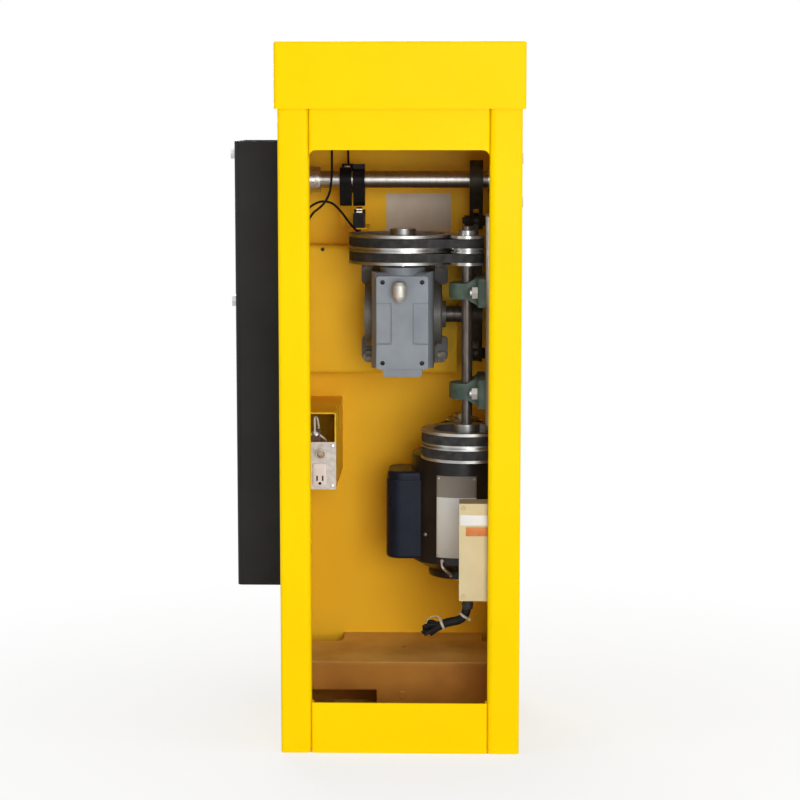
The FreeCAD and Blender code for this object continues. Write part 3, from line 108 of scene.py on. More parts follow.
def place_on(made, kind="Object"):
    """The three coordinates of a point on the piece, or of its normal."""
    place = made.node_tree.nodes.new("ShaderNodeTexCoord")
    split = made.node_tree.nodes.new("ShaderNodeSeparateXYZ")
    made.node_tree.links.new(place.outputs[kind], split.inputs["Vector"])
    return split.outputs["X"], split.outputs["Y"], split.outputs["Z"]


def work_out(made, operation, *terms):
    """One step of arithmetic in the finish; a term is a number or another step's result."""
    step = made.node_tree.nodes.new("ShaderNodeMath")
    step.operation = operation
    for count, term in enumerate(terms):
        if isinstance(term, float):
            step.inputs[count].default_value = term
        else:
            made.node_tree.links.new(term, step.inputs[count])
    return step.outputs["Value"]


def fade(made, value, start, end, most=1.0, least=0.0):
    """Share that goes from the least at start to the most at end."""
    spread = made.node_tree.nodes.new("ShaderNodeMapRange")
    spread.inputs["From Min"].default_value = start
    spread.inputs["From Max"].default_value = end
    spread.inputs["To Min"].default_value = least
    spread.inputs["To Max"].default_value = most
    made.node_tree.links.new(value, spread.inputs["Value"])
    return spread.outputs["Result"]


def tint(made, share, colour):
    """Lays a colour over the finish so far, as strong as its share."""
    over = made.node_tree.nodes.new("ShaderNodeMix")
    over.data_type = "RGBA"
    under = made.node_tree.nodes["Principled BSDF"].inputs["Base Color"].links[0].from_socket
    if isinstance(colour, tuple):
        over.inputs["B"].default_value = (*colour, 1)
    else:
        made.node_tree.links.new(colour, over.inputs["B"])
    made.node_tree.links.new(share, over.inputs["Factor"])
    made.node_tree.links.new(under, over.inputs["A"])
    lead_to(made, over.outputs["Result"], "Base Color")


def dust_and_painted_top_tone(made, colour, most, scale):
    """Patchy dust over the faces that look up; on the shelf it is also painted light, on the cream box and
    the reducer also painted shade.
    """
    lying = fade(made, place_on(made, "Normal")[2], 0.55, 0.95, most)
    tint(made, work_out(made, "MULTIPLY", lying, add_noise(made, scale, 4.0)), colour)


def dress(made, *names):
    """Gives the frame's own pieces a finish."""
    for name in names:
        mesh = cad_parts[name].data
        mesh.materials.clear()
        mesh.materials.append(made)


# Painted light: the ochre is lifted so the hole under the shelf looks lit.
base_ochre_painted_light = new_finish("base_ochre_painted_light", (0.58, 0.32, 0.06), 0.6, shine=0.2)
mottle(base_ochre_painted_light, 14.0, (0.48, 0.25, 0.04), (0.68, 0.38, 0.075))
dust_and_painted_top_tone(base_ochre_painted_light, (0.58, 0.42, 0.24), 0.8, 25.0)
grain(base_ochre_painted_light, 500.0, 0.2, 0.0005)
dress(base_ochre_painted_light, "base_frame")

# Cabinet: one steel sheet wrapped round front, sides and back flanges, with a top and a bottom rail.
# It is powder coated in glossy yellow; inside, the coat is painted a more orange ochre that stands for the
# dim light there: painted shade.
outer_half = 0.1715
sheet = 0.003
back_lip = 0.018
cap_height = 1.016
cabinet_yellow = new_finish("cabinet_yellow", (0.93, 0.62, 0.0), 0.32, shine=0.04)
# Painted shade: the orange inside tone stands for the dim, yellow-lit interior.
inside_shade_tone = mottle(cabinet_yellow, 3.5, (0.91, 0.51, 0.022), (0.98, 0.585, 0.032), low=0.3, high=0.7)
mottle(cabinet_yellow, 5.0, (0.91, 0.605, 0.0), (0.95, 0.64, 0.0))
uneven_gloss(cabinet_yellow, 9.0, 0.26, 0.38)
grain(cabinet_yellow, 420.0, 0.05, 0.0006)
across, along, above = place_on(cabinet_yellow)
out_from_middle = work_out(cabinet_yellow, "MAXIMUM", work_out(cabinet_yellow, "ABSOLUTE", across),
                           work_out(cabinet_yellow, "ABSOLUTE", along))
out_from_middle = work_out(cabinet_yellow, "MAXIMUM", out_from_middle,
                           work_out(cabinet_yellow, "SUBTRACT", above, cap_height - outer_half))
# The painted shade goes on every face within the walls and before the back lips.
within_sheet = work_out(cabinet_yellow, "LESS_THAN", out_from_middle, outer_half - sheet / 2)
before_lips = work_out(cabinet_yellow, "LESS_THAN", along, outer_half - back_lip)
tint(cabinet_yellow, work_out(cabinet_yellow, "MULTIPLY", within_sheet, before_lips), inside_shade_tone)
dress(cabinet_yellow, "cabinet_wrap", "back_top_rail", "back_bottom_rail")

# Floor shelf: a folded sheet tray over the base, notched at its corners and cut out for the conduit.
# It is painted a dark red-brown ochre as painted shade for the dim lower bay, with patchy pale dust on top
# laid thick as painted light, and a painted screw in its front.
shelf_front = 0.030
shelf_screw_height = 0.050
shelf_screw_radius = 0.0056
shelf_screw_rise = 0.0020
# Painted shade: the dark red-brown base; painted light: the heavy pale dust on the top.
shelf_shade_ochre = new_finish("shelf_shade_ochre", (0.42, 0.18, 0.024), 0.55, shine=0.18)
mottle(shelf_shade_ochre, 7.0, (0.34, 0.135, 0.017), (0.49, 0.22, 0.03), detail=5.0)
dust_and_painted_top_tone(shelf_shade_ochre, (0.86, 0.60, 0.20), 1.3, 12.0)
uneven_gloss(shelf_shade_ochre, 20.0, 0.42, 0.66)
grain(shelf_shade_ochre, 420.0, 0.08, 0.0006)
dress(shelf_shade_ochre, "base_shelf")


def pick(piece, kind, wanted):
    """Edit mode, with the faces or edges selected whose middle and direction pass a test."""
    if bpy.context.mode == "EDIT_MESH":
        bpy.ops.object.mode_set(mode="OBJECT")
    bpy.ops.object.select_all(action="DESELECT")
    bpy.context.view_layer.objects.active = piece
    piece.select_set(True)
    bpy.ops.object.mode_set(mode="EDIT")
    bpy.ops.mesh.select_mode(type=kind)
    bpy.ops.mesh.select_all(action="DESELECT")
    bpy.ops.object.mode_set(mode="OBJECT")
    if kind == "FACE":
        for face in piece.data.polygons:
            face.select = wanted(face.center, face.normal)
    else:
        for edge in piece.data.edges:
            start, end = [piece.data.vertices[corner].co for corner in edge.vertices]
            edge.select = wanted((start + end) / 2, (end - start).normalized())
    bpy.ops.object.mode_set(mode="EDIT")


def close_up(piece, angle=35.0):
    """Back to object mode with outward normals and edges left sharp past an angle."""
    bpy.ops.object.mode_set(mode="EDIT")
    bpy.ops.mesh.select_all(action="SELECT")
    bpy.ops.mesh.normals_make_consistent(inside=False)
    bpy.ops.object.mode_set(mode="OBJECT")
    bpy.ops.object.select_all(action="DESELECT")
    piece.select_set(True)
    bpy.ops.object.shade_smooth_by_angle(angle=math.radians(angle))


def screw_head(name, radius, rise):
    """Slotted pan head that stands on the ground at the origin."""
    slot_half = radius * 0.13
    slot_deep = rise * 0.45
    round_off = rise * 0.5
    bpy.ops.object.select_all(action="DESELECT")
    bpy.ops.mesh.primitive_cylinder_add(vertices=32, radius=radius, depth=rise, location=(0, 0, rise / 2))
    head = bpy.context.object
    head.name = name
    bpy.ops.object.transform_apply(location=True, rotation=True, scale=True)
    pick(head, "EDGE", lambda middle, way: middle.z > rise * 0.9)
    bpy.ops.mesh.bevel(offset=round_off, segments=4, profile=0.5, affect="EDGES")
    for side in (-1, 1):
        bpy.ops.mesh.select_all(action="SELECT")
        bpy.ops.mesh.bisect(plane_co=(side * slot_half, 0, 0), plane_no=(1, 0, 0))
    pick(head, "FACE", lambda middle, normal: normal.z > 0.99 and abs(middle.x) < slot_half * 0.8)
    bpy.ops.mesh.extrude_region_move(TRANSFORM_OT_translate={"value": (0, 0, -slot_deep)})
    close_up(head)
    return head


def set_down(piece, place, turn):
    """Turns and moves a piece by degrees and metres, and keeps its place in its mesh."""
    bpy.ops.object.select_all(action="DESELECT")
    bpy.context.view_layer.objects.active = piece
    piece.select_set(True)
    piece.location = place
    piece.rotation_euler = [math.radians(angle) for angle in turn]
    bpy.ops.object.transform_apply(location=True, rotation=True, scale=True)


def copy_of(piece, name):
    """A copy of a modelled piece with its own mesh."""
    bpy.ops.object.select_all(action="DESELECT")
    bpy.context.view_layer.objects.active = piece
    piece.select_set(True)
    bpy.ops.object.duplicate(linked=False)
    bpy.context.object.name = name
    return bpy.context.object


def set_out(piece, places, turn, finish):
    """Copies a modelled piece to every place and fixes all to the cabinet."""
    made = [piece]
    for count in range(2, len(places) + 1):
        made.append(copy_of(piece, "%s_%d" % (piece.name, count)))
    for one, place in zip(made, places):
        set_down(one, place, turn)
        one.data.materials.clear()
        one.data.materials.append(finish)
        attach(one, "cabinet")


def to_back(spin=0.0):
    """Turn that makes a piece face the service side, spun about that direction."""
    return (-90, spin, 0)


set_out(screw_head("shelf_screw", shelf_screw_radius, shelf_screw_rise),
        [(0, shelf_front, shelf_screw_height)], to_back(30), shelf_shade_ochre)

# Wall brackets: folded plates that carry reducer, countershaft and limit switches. Two wear the cabinet's
# coat; the countershaft's is bare zinc plate, with painted shade darkening it below the belts. Blackened
# screws hold the reducer's.
bracket_face = -0.120
bracket_screw_sides = (0.1262, 0.1600)
bracket_screw_height = 0.7095
bracket_screw_radius = 0.0029
bracket_screw_rise = 0.0020
belt_line = 0.712
belt_shade_low = 0.640
belt_shade_share = 0.85
dress(cabinet_yellow, "reducer_bracket", "limit_switch_bracket")
bracket_zinc = new_finish("bracket_zinc", (0.52, 0.50, 0.47), 0.45, metallic=0.35)
mottle(bracket_zinc, 110.0, (0.45, 0.43, 0.40), (0.60, 0.58, 0.55), detail=2.0)
# Painted shade: the zinc goes dark brown from the belt line down.
shade_below_belts = fade(bracket_zinc, place_on(bracket_zinc)[2], belt_line, belt_shade_low, belt_shade_share)
tint(bracket_zinc, shade_below_belts, (0.17, 0.105, 0.035))
uneven_gloss(bracket_zinc, 90.0, 0.36, 0.56)
dress(bracket_zinc, "countershaft_bracket")
blackened = new_finish("blackened", (0.02, 0.019, 0.018), 0.4, metallic=0.5, shine=0.4)
mottle(blackened, 300.0, (0.012, 0.012, 0.011), (0.035, 0.031, 0.027))
uneven_gloss(blackened, 260.0, 0.32, 0.55)
set_out(screw_head("bracket_screw", bracket_screw_radius, bracket_screw_rise),
        [(side, bracket_face, bracket_screw_height) for side in bracket_screw_sides],
        to_back(20), blackened)

# Motor: a rolled shell between two end bells in deep gloss black, on a welded mount of the same black.
# Its shaft is bright bar; a blackened spring band closes the vents of the lower bell.
motor_centre = Vector((-0.089, -0.060, 0.0))
band_radius = 0.0502
band_wall = 0.0009
band_low = 0.2205
band_tall = 0.0068
band_edge = 0.0003
motor_black = new_finish("motor_black", (0.011, 0.011, 0.013), 0.25, shine=0.3)
mottle(motor_black, 18.0, (0.008, 0.008, 0.010), (0.016, 0.016, 0.018))
dust_and_painted_top_tone(motor_black, (0.13, 0.11, 0.09), 0.25, 40.0)
uneven_gloss(motor_black, 40.0, 0.30, 0.37)
grain(motor_black, 300.0, 0.05, 0.0006)
dress(motor_black, "motor_shell", "motor_end_bells", "motor_mount")
bright_bar = new_finish("bright_bar", (0.70, 0.69, 0.67), 0.22, metallic=1.0)
mottle(bright_bar, 60.0, (0.60, 0.59, 0.57), (0.72, 0.71, 0.69), detail=2.0, stretch=(1, 1, 22))
uneven_gloss(bright_bar, 80.0, 0.18, 0.28, stretch=(1, 1, 22))
dress(bright_bar, "motor_shaft", "worm_shaft")
zinc_plate = new_finish("zinc_plate", (0.66, 0.66, 0.64), 0.3, metallic=1.0)
mottle(zinc_plate, 160.0, (0.54, 0.54, 0.53), (0.74, 0.74, 0.72))
uneven_gloss(zinc_plate, 220.0, 0.24, 0.42)


def thicken(piece, wall):
    """Gives the sheet that is active its thickness, on the outside."""
    grown = piece.modifiers.new("thicken", "SOLIDIFY")
    grown.thickness = wall
    grown.offset = 1.0
    bpy.ops.object.modifier_apply(modifier="thicken")


def motor_hoop(name, sides, radius, low, tall, wall, cut_away):
    """Sheet hoop round the motor, cut away where a test of its faces says so."""
    bpy.ops.object.select_all(action="DESELECT")
    bpy.ops.mesh.primitive_cylinder_add(vertices=sides, radius=radius, depth=tall, end_fill_type="NOTHING",
                                        location=motor_centre + Vector((0, 0, low + tall / 2)))
    hoop = bpy.context.object
    hoop.name = name
    bpy.ops.object.transform_apply(location=True, rotation=True, scale=True)
    pick(hoop, "FACE", cut_away)
    bpy.ops.mesh.delete(type="FACE")
    close_up(hoop)
    thicken(hoop, wall)
    return hoop


motor_band = motor_hoop("motor_band", 96, band_radius, band_low, band_tall, band_wall,
                        lambda middle, normal: normal.y < -0.995)
soften = motor_band.modifiers.new("soften", "BEVEL")
soften.width = band_edge
soften.segments = 2
bpy.ops.object.modifier_apply(modifier="soften")
motor_band.data.materials.append(blackened)
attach(motor_band, "cabinet")

# Motor plate: a thin foil wrapped on the shell and held by four small rivets, a grey block over a pale field.
# A fifth, larger rivet beside it holds the capacitor's hood.
plate_radius = 0.0767
plate_wall = 0.00035
plate_low = 0.256
plate_high = 0.380
plate_angles = (-30.0, 16.0)
block_low = 0.3475
rivet_angles = (-27.5, 13.5)
rivet_heights = (0.2600, 0.3760)
rivet_radius = 0.0022
hood_rivet_angle = -46.0
hood_rivet_height = 0.2880
hood_rivet_radius = 0.0030
rivet_rise_share = 0.64
rivet_sink = 0.0002


def off_plate(middle, normal):
    """True beyond the plate's two upright edges, by the angle round the motor from the service side."""
    angle = math.degrees(math.atan2(-(middle.x - motor_centre.x), middle.y - motor_centre.y))
    return not plate_angles[0] < angle < plate_angles[1]


motor_plate = motor_hoop("motor_plate", 180, plate_radius, plate_low, plate_high - plate_low, plate_wall,
                         off_plate)
plate_foil = new_finish("plate_foil", (0.86, 0.90, 0.89), 0.42, shine=0.3)
mottle(plate_foil, 30.0, (0.83, 0.87, 0.86), (0.89, 0.93, 0.92))
on_block = work_out(plate_foil, "GREATER_THAN", place_on(plate_foil)[2], block_low)
tint(plate_foil, on_block, (0.34, 0.315, 0.28))
uneven_gloss(plate_foil, 50.0, 0.34, 0.5)
motor_plate.data.materials.append(plate_foil)
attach(motor_plate, "cabinet")


def round_motor(radius, angle, height):
    """A point beside the motor, by the angle round it from the service side."""
    turned = math.radians(angle)
    return motor_centre + Vector((-math.sin(turned) * radius, math.cos(turned) * radius, height))


def off_motor(angle):
    """Turn that makes a piece face straight away from the motor, by the angle round it."""
    return (-90, 0, angle)


first_rivet = screw_head("motor_rivet_1", rivet_radius, rivet_radius * rivet_rise_share)
rivets = [first_rivet] + [copy_of(first_rivet, "motor_rivet_%d" % count) for count in (2, 3, 4)]
rivets.append(screw_head("motor_rivet_5", hood_rivet_radius, hood_rivet_radius * rivet_rise_share))
rivet_places = [(angle, height) for angle in rivet_angles for height in rivet_heights]
rivet_places.append((hood_rivet_angle, hood_rivet_height))
for rivet, (angle, height) in zip(rivets, rivet_places):
    rivet_place = round_motor(plate_radius - rivet_sink, angle, height)
    set_out(rivet, [rivet_place], off_motor(angle), zinc_plate)

# Earth braid: a bare plated braid from a screw low on the shell to another on the lower bell's band.
# It hangs in a short loose loop between the two.
braid_radius = 0.0020
shell_radius = 0.0765
shell_screw_angle = -23.0
shell_screw_height = 0.2504
shell_screw_radius = 0.0030
band_screw_angle = -19.0
band_screw_height = 0.2240
band_screw_radius = 0.0026
braid_screw_rise = 0.0022
screw_sink = 0.0001


def round_wire(name, route, radius, finish):
    """Round wire on one smooth spline with the route's points as its control points."""
    bpy.ops.object.select_all(action="DESELECT")
    bpy.ops.curve.primitive_nurbs_path_add(location=(0, 0, 0))
    made = bpy.context.object
    made.name = name
    made.data.splines.clear()
    spline = made.data.splines.new("NURBS")
    spline.points.add(len(route) - 1)
    for point, place in zip(spline.points, route):
        point.co = (*place, 1)
    spline.order_u = 3
    spline.use_endpoint_u = True
    spline.resolution_u = 12
    made.data.dimensions = "3D"
    made.data.bevel_depth = radius
    made.data.bevel_resolution = 5
    made.data.use_fill_caps = True
    made.data.materials.append(finish)
    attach(made, "cabinet")
    return made


braid_tin = new_finish("braid_tin", (0.66, 0.65, 0.62), 0.45, metallic=0.6)
mottle(braid_tin, 700.0, (0.46, 0.45, 0.43), (0.78, 0.77, 0.74))
uneven_gloss(braid_tin, 500.0, 0.38, 0.55)
grain(braid_tin, 1800.0, 0.5, 0.0004)
set_out(screw_head("earth_screw", shell_screw_radius, braid_screw_rise),
        [round_motor(shell_radius - screw_sink, shell_screw_angle, shell_screw_height)],
        off_motor(shell_screw_angle), zinc_plate)
set_out(screw_head("band_screw", band_screw_radius, braid_screw_rise),
        [round_motor(band_radius + band_wall - screw_sink, band_screw_angle, band_screw_height)],
        off_motor(band_screw_angle), zinc_plate)
braid_route = [(0.0778, -23.0, 0.2500), (0.0820, -22.0, 0.2440), (0.0790, -18.5, 0.2370),
               (0.0650, -17.0, 0.2305), (0.0550, -18.0, 0.2265), (0.0520, -19.0, 0.2242)]
round_wire("earth_braid", [round_motor(*point) for point in braid_route], braid_radius, braid_tin)

# Capacitor cover: a pressed steel hood on the motor's side in navy enamel, with an inset lid.
# It is riveted to the shell beside the plate.
cover_navy = new_finish("cover_navy", (0.009, 0.013, 0.026), 0.32, shine=0.13)
mottle(cover_navy, 25.0, (0.007, 0.0105, 0.021), (0.011, 0.016, 0.032))
dust_and_painted_top_tone(cover_navy, (0.10, 0.085, 0.06), 0.3, 40.0)
uneven_gloss(cover_navy, 30.0, 0.26, 0.42)
grain(cover_navy, 260.0, 0.04, 0.0006)
dress(cover_navy, "capacitor_cover")


# Countershaft and output shaft, with the pulleys of motor, countershaft and reducer: dark drawn bar
# and turned light alloy. Each pulley shows the lathe's rings about its own axis.
def turned_alloy(name, axis):
    """Light alloy with lathe rings about an upright axis."""
    made = new_finish(name, (0.37, 0.37, 0.36), 0.34, metallic=1.0)
    mottle(made, 45.0, (0.29, 0.29, 0.28), (0.42, 0.42, 0.41), detail=3.0, stretch=(1, 1, 3))
    nodes = made.node_tree.nodes
    place = nodes.new("ShaderNodeTexCoord")
    centre = nodes.new("ShaderNodeMapping")
    centre.inputs["Location"].default_value = (-axis[0], -axis[1], 0)
    rings = nodes.new("ShaderNodeTexWave")
    rings.wave_type = "RINGS"
    rings.rings_direction = "Z"
    rings.inputs["Scale"].default_value = 190.0
    rings.inputs["Distortion"].default_value = 1.5
    rings.inputs["Detail Scale"].default_value = 40.0
    made.node_tree.links.new(place.outputs["Object"], centre.inputs["Vector"])
    made.node_tree.links.new(centre.outputs["Vector"], rings.inputs["Vector"])
    relief(made, rings.outputs["Fac"], 0.12, 0.0003)
    lead_to(made, fade(made, rings.outputs["Fac"], 0.0, 1.0, 0.44, 0.30), "Roughness")
    return made


countershaft_axis = (-0.095, 0.055)
dress(turned_alloy("countershaft_alloy", countershaft_axis),
      "countershaft_small_pulley", "countershaft_large_pulley")
dress(turned_alloy("motor_pulley_alloy", motor_centre), "motor_pulley")
dress(turned_alloy("reducer_pulley_alloy", (0, 0)), "reducer_pulley")
drawn_bar = new_finish("drawn_bar", (0.10, 0.085, 0.075), 0.38, metallic=0.7)
mottle(drawn_bar, 40.0, (0.075, 0.062, 0.055), (0.13, 0.112, 0.10), detail=3.0, stretch=(4, 4, 1))
uneven_gloss(drawn_bar, 60.0, 0.3, 0.48, stretch=(4, 4, 1))
dress(drawn_bar, "countershaft", "output_shaft")

# Pillow blocks: iron castings in a dull green enamel, flared from dome to foot.
# The skin is coarse from the sand mould, and dust lies on the faces that look up.
block_green = new_finish("block_green", (0.045, 0.08, 0.055), 0.5, shine=0.4)
mottle(block_green, 45.0, (0.026, 0.05, 0.036), (0.062, 0.10, 0.07))
dust_and_painted_top_tone(block_green, (0.16, 0.15, 0.10), 0.7, 60.0)
uneven_gloss(block_green, 60.0, 0.38, 0.62)
grain(block_green, 320.0, 0.3, 0.0008)
dress(block_green, "upper_pillow_block", "lower_pillow_block")

# Belts: two pairs of moulded rubber belts in a woven cover.
# They run in the pulleys' grooves and are dusted with worn rubber.
belt_rubber = new_finish("belt_rubber", (0.018, 0.018, 0.018), 0.7, shine=0.3)
mottle(belt_rubber, 90.0, (0.012, 0.012, 0.012), (0.034, 0.032, 0.030))
uneven_gloss(belt_rubber, 120.0, 0.55, 0.8)
grain(belt_rubber, 1400.0, 0.35, 0.0004)
dress(belt_rubber, "drive_belts")

# Worm reducer: an iron casting in smooth blue-grey enamel, with a bolted end cover and a plated breather.
# Inside, a bronze wheel runs on the ground worm. Its bolts are painted dark as painted shade, the pillow
# blocks' are bright zinc.
pad_face = 0.040
panel_depth = 0.006
panel_side = 0.016
panel_middle = 0.610
panel_half = 0.030
step_line_width = 0.0011
step_line_share = 0.3
shade_start_depth = 0.034
shade_full_depth = -0.006
wall_shade_share = 0.84
plug_sides = (-0.029, 0.029)
plug_heights = (0.552, 0.671)
plug_radius = 0.0034
plug_rise = 0.0030
plug_sink = 0.0090
block_reach = -0.078
reducer_grey = new_finish("reducer_grey", (0.235, 0.268, 0.31), 0.38, shine=0.35)
mottle(reducer_grey, 20.0, (0.205, 0.236, 0.272), (0.258, 0.292, 0.335))
across, along, above = place_on(reducer_grey)
across = work_out(reducer_grey, "ABSOLUTE", across)
off_middle = work_out(reducer_grey, "ABSOLUTE", work_out(reducer_grey, "SUBTRACT", above, panel_middle))
# Painted shade: dark lines along the steps round the raised panels.
upright_step_line = work_out(reducer_grey, "MULTIPLY",
                        work_out(reducer_grey, "COMPARE", across, panel_side, step_line_width),
                        work_out(reducer_grey, "LESS_THAN", off_middle, panel_half + step_line_width))
level_step_line = work_out(reducer_grey, "MULTIPLY",
                      work_out(reducer_grey, "COMPARE", off_middle, panel_half, step_line_width),
                      work_out(reducer_grey, "GREATER_THAN", across, panel_side - step_line_width))
painted_step_lines = work_out(reducer_grey, "MULTIPLY", work_out(reducer_grey, "MAXIMUM", upright_step_line, level_step_line),
                 work_out(reducer_grey, "GREATER_THAN", along, pad_face - panel_depth))
tint(reducer_grey, work_out(reducer_grey, "MULTIPLY", painted_step_lines, step_line_share), (0.07, 0.068, 0.066))
# Painted shade: the case darkens towards the wall.
tint(reducer_grey, fade(reducer_grey, along, shade_start_depth, shade_full_depth, wall_shade_share), (0.085, 0.072, 0.052))
# The dark tint on the upward faces is dust and painted shade.
dust_and_painted_top_tone(reducer_grey, (0.15, 0.12, 0.08), 0.8, 35.0)
uneven_gloss(reducer_grey, 30.0, 0.32, 0.46)
grain(reducer_grey, 240.0, 0.12, 0.0008)
dress(reducer_grey, "reducer_housing", "reducer_end_cover")
# The plugs sit deep in the pad holes and are blackened so the holes read black: painted shade.
set_out(screw_head("pad_plug", plug_radius, plug_rise),
        [(side, pad_face - plug_sink, height) for side in plug_sides for height in plug_heights],
        to_back(15), blackened)
wheel_bronze = new_finish("wheel_bronze", (0.62, 0.40, 0.16), 0.3, metallic=1.0)
mottle(wheel_bronze, 60.0, (0.5, 0.31, 0.12), (0.68, 0.46, 0.2))
uneven_gloss(wheel_bronze, 90.0, 0.24, 0.4)
dress(wheel_bronze, "worm_wheel")
# Painted shade: the bolts are dark away from the pillow blocks and bright zinc on them.
bolt_zinc_and_shade = new_finish("bolt_zinc_and_shade", (0.30, 0.28, 0.23), 0.42, metallic=1.0)
mottle(bolt_zinc_and_shade, 150.0, (0.045, 0.04, 0.032), (0.13, 0.118, 0.095))
on_block = work_out(bolt_zinc_and_shade, "LESS_THAN", place_on(bolt_zinc_and_shade)[0], block_reach)
tint(bolt_zinc_and_shade, on_block, (0.52, 0.50, 0.46))
uneven_gloss(bolt_zinc_and_shade, 200.0, 0.34, 0.55)
dress(bolt_zinc_and_shade, "drive_bolts")
breather_zinc = new_finish("breather_zinc", (0.58, 0.56, 0.53), 0.5, metallic=0.6)
mottle(breather_zinc, 140.0, (0.52, 0.50, 0.47), (0.64, 0.62, 0.58))
uneven_gloss(breather_zinc, 160.0, 0.42, 0.58)
dress(breather_zinc, "breather_plug")

# Arm shaft: ground bright bar across the cabinet, with plated lock collars and wall bearings.
# Fine lines run round the bar and a thin film of oil keeps it clean.
ground_bar = new_finish("ground_bar", (0.41, 0.395, 0.37), 0.38, metallic=1.0)
mottle(ground_bar, 30.0, (0.36, 0.345, 0.32), (0.45, 0.435, 0.41), detail=2.0, stretch=(30, 1, 1))
uneven_gloss(ground_bar, 40.0, 0.33, 0.41, stretch=(40, 1, 1))
dress(ground_bar, "arm_shaft")
dress(zinc_plate, "shaft_collars", "arm_bearing_near", "arm_bearing_far", "bearing_bolts")

# Limit cams, switches and bushings: moulded black plastic, the cams split and clamped on the shaft.
# The switch levers are spring steel with small rollers, and the leads have soft black sheaths.
switch_plastic = new_finish("switch_plastic", (0.007, 0.006, 0.006), 0.42, shine=0.09)
mottle(switch_plastic, 120.0, (0.005, 0.0045, 0.0045), (0.010, 0.0085, 0.0085))
uneven_gloss(switch_plastic, 150.0, 0.34, 0.5)
grain(switch_plastic, 1200.0, 0.1, 0.0003)
dress(switch_plastic, "open_limit_cam", "close_limit_cam", "open_limit_switch", "close_limit_switch",
      "wire_bushings")
spring_steel = new_finish("spring_steel", (0.66, 0.65, 0.62), 0.26, metallic=1.0)
mottle(spring_steel, 140.0, (0.56, 0.55, 0.52), (0.70, 0.69, 0.66))
uneven_gloss(spring_steel, 180.0, 0.2, 0.34)
dress(spring_steel, "open_switch_lever", "close_switch_lever")
lead_sheath = new_finish("lead_sheath", (0.007, 0.006, 0.005), 0.5, shine=0.10)
mottle(lead_sheath, 200.0, (0.005, 0.004, 0.0035), (0.011, 0.009, 0.0075))
uneven_gloss(lead_sheath, 260.0, 0.35, 0.6)
grain(lead_sheath, 900.0, 0.25, 0.0004)
dress(lead_sheath, "open_switch_lead", "close_switch_lead")

# Lever, crank, connecting rod and pins: flame cut and forged steel on a parallel linkage.
# They keep a dark oiled scale with a brown cast.
dark_scale = new_finish("dark_scale", (0.042, 0.036, 0.022), 0.5, metallic=0.2, shine=0.22)
mottle(dark_scale, 55.0, (0.028, 0.023, 0.013), (0.058, 0.050, 0.033))
uneven_gloss(dark_scale, 80.0, 0.36, 0.58)
grain(dark_scale, 300.0, 0.2, 0.0005)
dress(dark_scale, "drive_lever", "crank_arm", "connecting_rod", "lever_pin", "crank_pin")

# Arm holder: a heavy pressed channel clamped on a thick hub plate by four plated bolts.
# It has a satin black powder coat with a fine, even texture.
channel_black = new_finish("channel_black", (0.013, 0.0125, 0.013), 0.46, shine=0.16)
mottle(channel_black, 8.0, (0.010, 0.0095, 0.010), (0.016, 0.015, 0.016))
uneven_gloss(channel_black, 12.0, 0.36, 0.5)
grain(channel_black, 700.0, 0.1, 0.0005)
dress(channel_black, "arm_channel", "arm_hub_plate")
dress(zinc_plate, "channel_bolts")

# Junction box: a folded yellow trough on the side wall, closed by a galvanised switch plate below its mouth.
# The plate has frosty crystals and four slotted screws.
plate_face = 0.030
plate_screw_sides = (0.104, 0.163)
plate_screw_heights = (0.4275, 0.3675)
plate_screw_radius = 0.0028
plate_screw_rise = 0.0017
dress(cabinet_yellow, "junction_box")
plate_zinc = new_finish("plate_zinc", (0.60, 0.57, 0.535), 0.5, metallic=0.2)
mottle(plate_zinc, 130.0, (0.52, 0.49, 0.46), (0.66, 0.63, 0.59), detail=1.0)
uneven_gloss(plate_zinc, 110.0, 0.38, 0.6)
dress(plate_zinc, "switch_plate")
set_out(screw_head("switch_plate_screw", plate_screw_radius, plate_screw_rise),
        [(side, plate_face, height) for side in plate_screw_sides for height in plate_screw_heights],
        to_back(25), zinc_plate)


# Service receptacle: a moulded ivory outlet face in the switch plate, under a tan toggle.
# It is pressed in from the front, with two blade slots and an earth hole below its plain upper half, their
# floors black as painted shade.
def flat_plate(name, width, height, thick, corner, edge):
    """Plate with round corners and a soft face edge that lies on the ground at the origin."""
    bpy.ops.object.select_all(action="DESELECT")
    bpy.ops.mesh.primitive_cube_add(size=1.0, location=(0, 0, thick / 2), scale=(width, height, thick))
    plate = bpy.context.object
    plate.name = name
    bpy.ops.object.transform_apply(location=True, rotation=True, scale=True)
    pick(plate, "EDGE", lambda middle, way: abs(way.z) > 0.9)
    bpy.ops.mesh.bevel(offset=corner, segments=6, profile=0.5, affect="EDGES")
    pick(plate, "EDGE", lambda middle, way: middle.z > thick * 0.99)
    bpy.ops.mesh.bevel(offset=edge, segments=2, profile=0.5, affect="EDGES")
    close_up(plate)
    return plate


outlet_wide = 0.020
outlet_tall = 0.034
outlet_thick = 0.0035
outlet_corner = 0.004
outlet_edge = 0.0008
outlet_side = 0.1225
outlet_height = 0.3845
outlet_sink = 0.0002
blade_sides = (0.0030, 0.0054)
blade_ends = (0.0015, 0.0095)
earth_side = 0.0022
earth_ends = (0.0112, 0.0150)
slot_depth = 0.0026
receptacle = flat_plate("receptacle", outlet_wide, outlet_tall, outlet_thick, outlet_corner, outlet_edge)
for away in (*blade_sides, earth_side):
    for side in (-away, away):
        bpy.ops.object.mode_set(mode="EDIT")
        bpy.ops.mesh.select_all(action="SELECT")
        bpy.ops.mesh.bisect(plane_co=(side, 0, 0), plane_no=(1, 0, 0))
for height in (*blade_ends, *earth_ends):
    bpy.ops.mesh.select_all(action="SELECT")
    bpy.ops.mesh.bisect(plane_co=(0, height, 0), plane_no=(0, 1, 0))


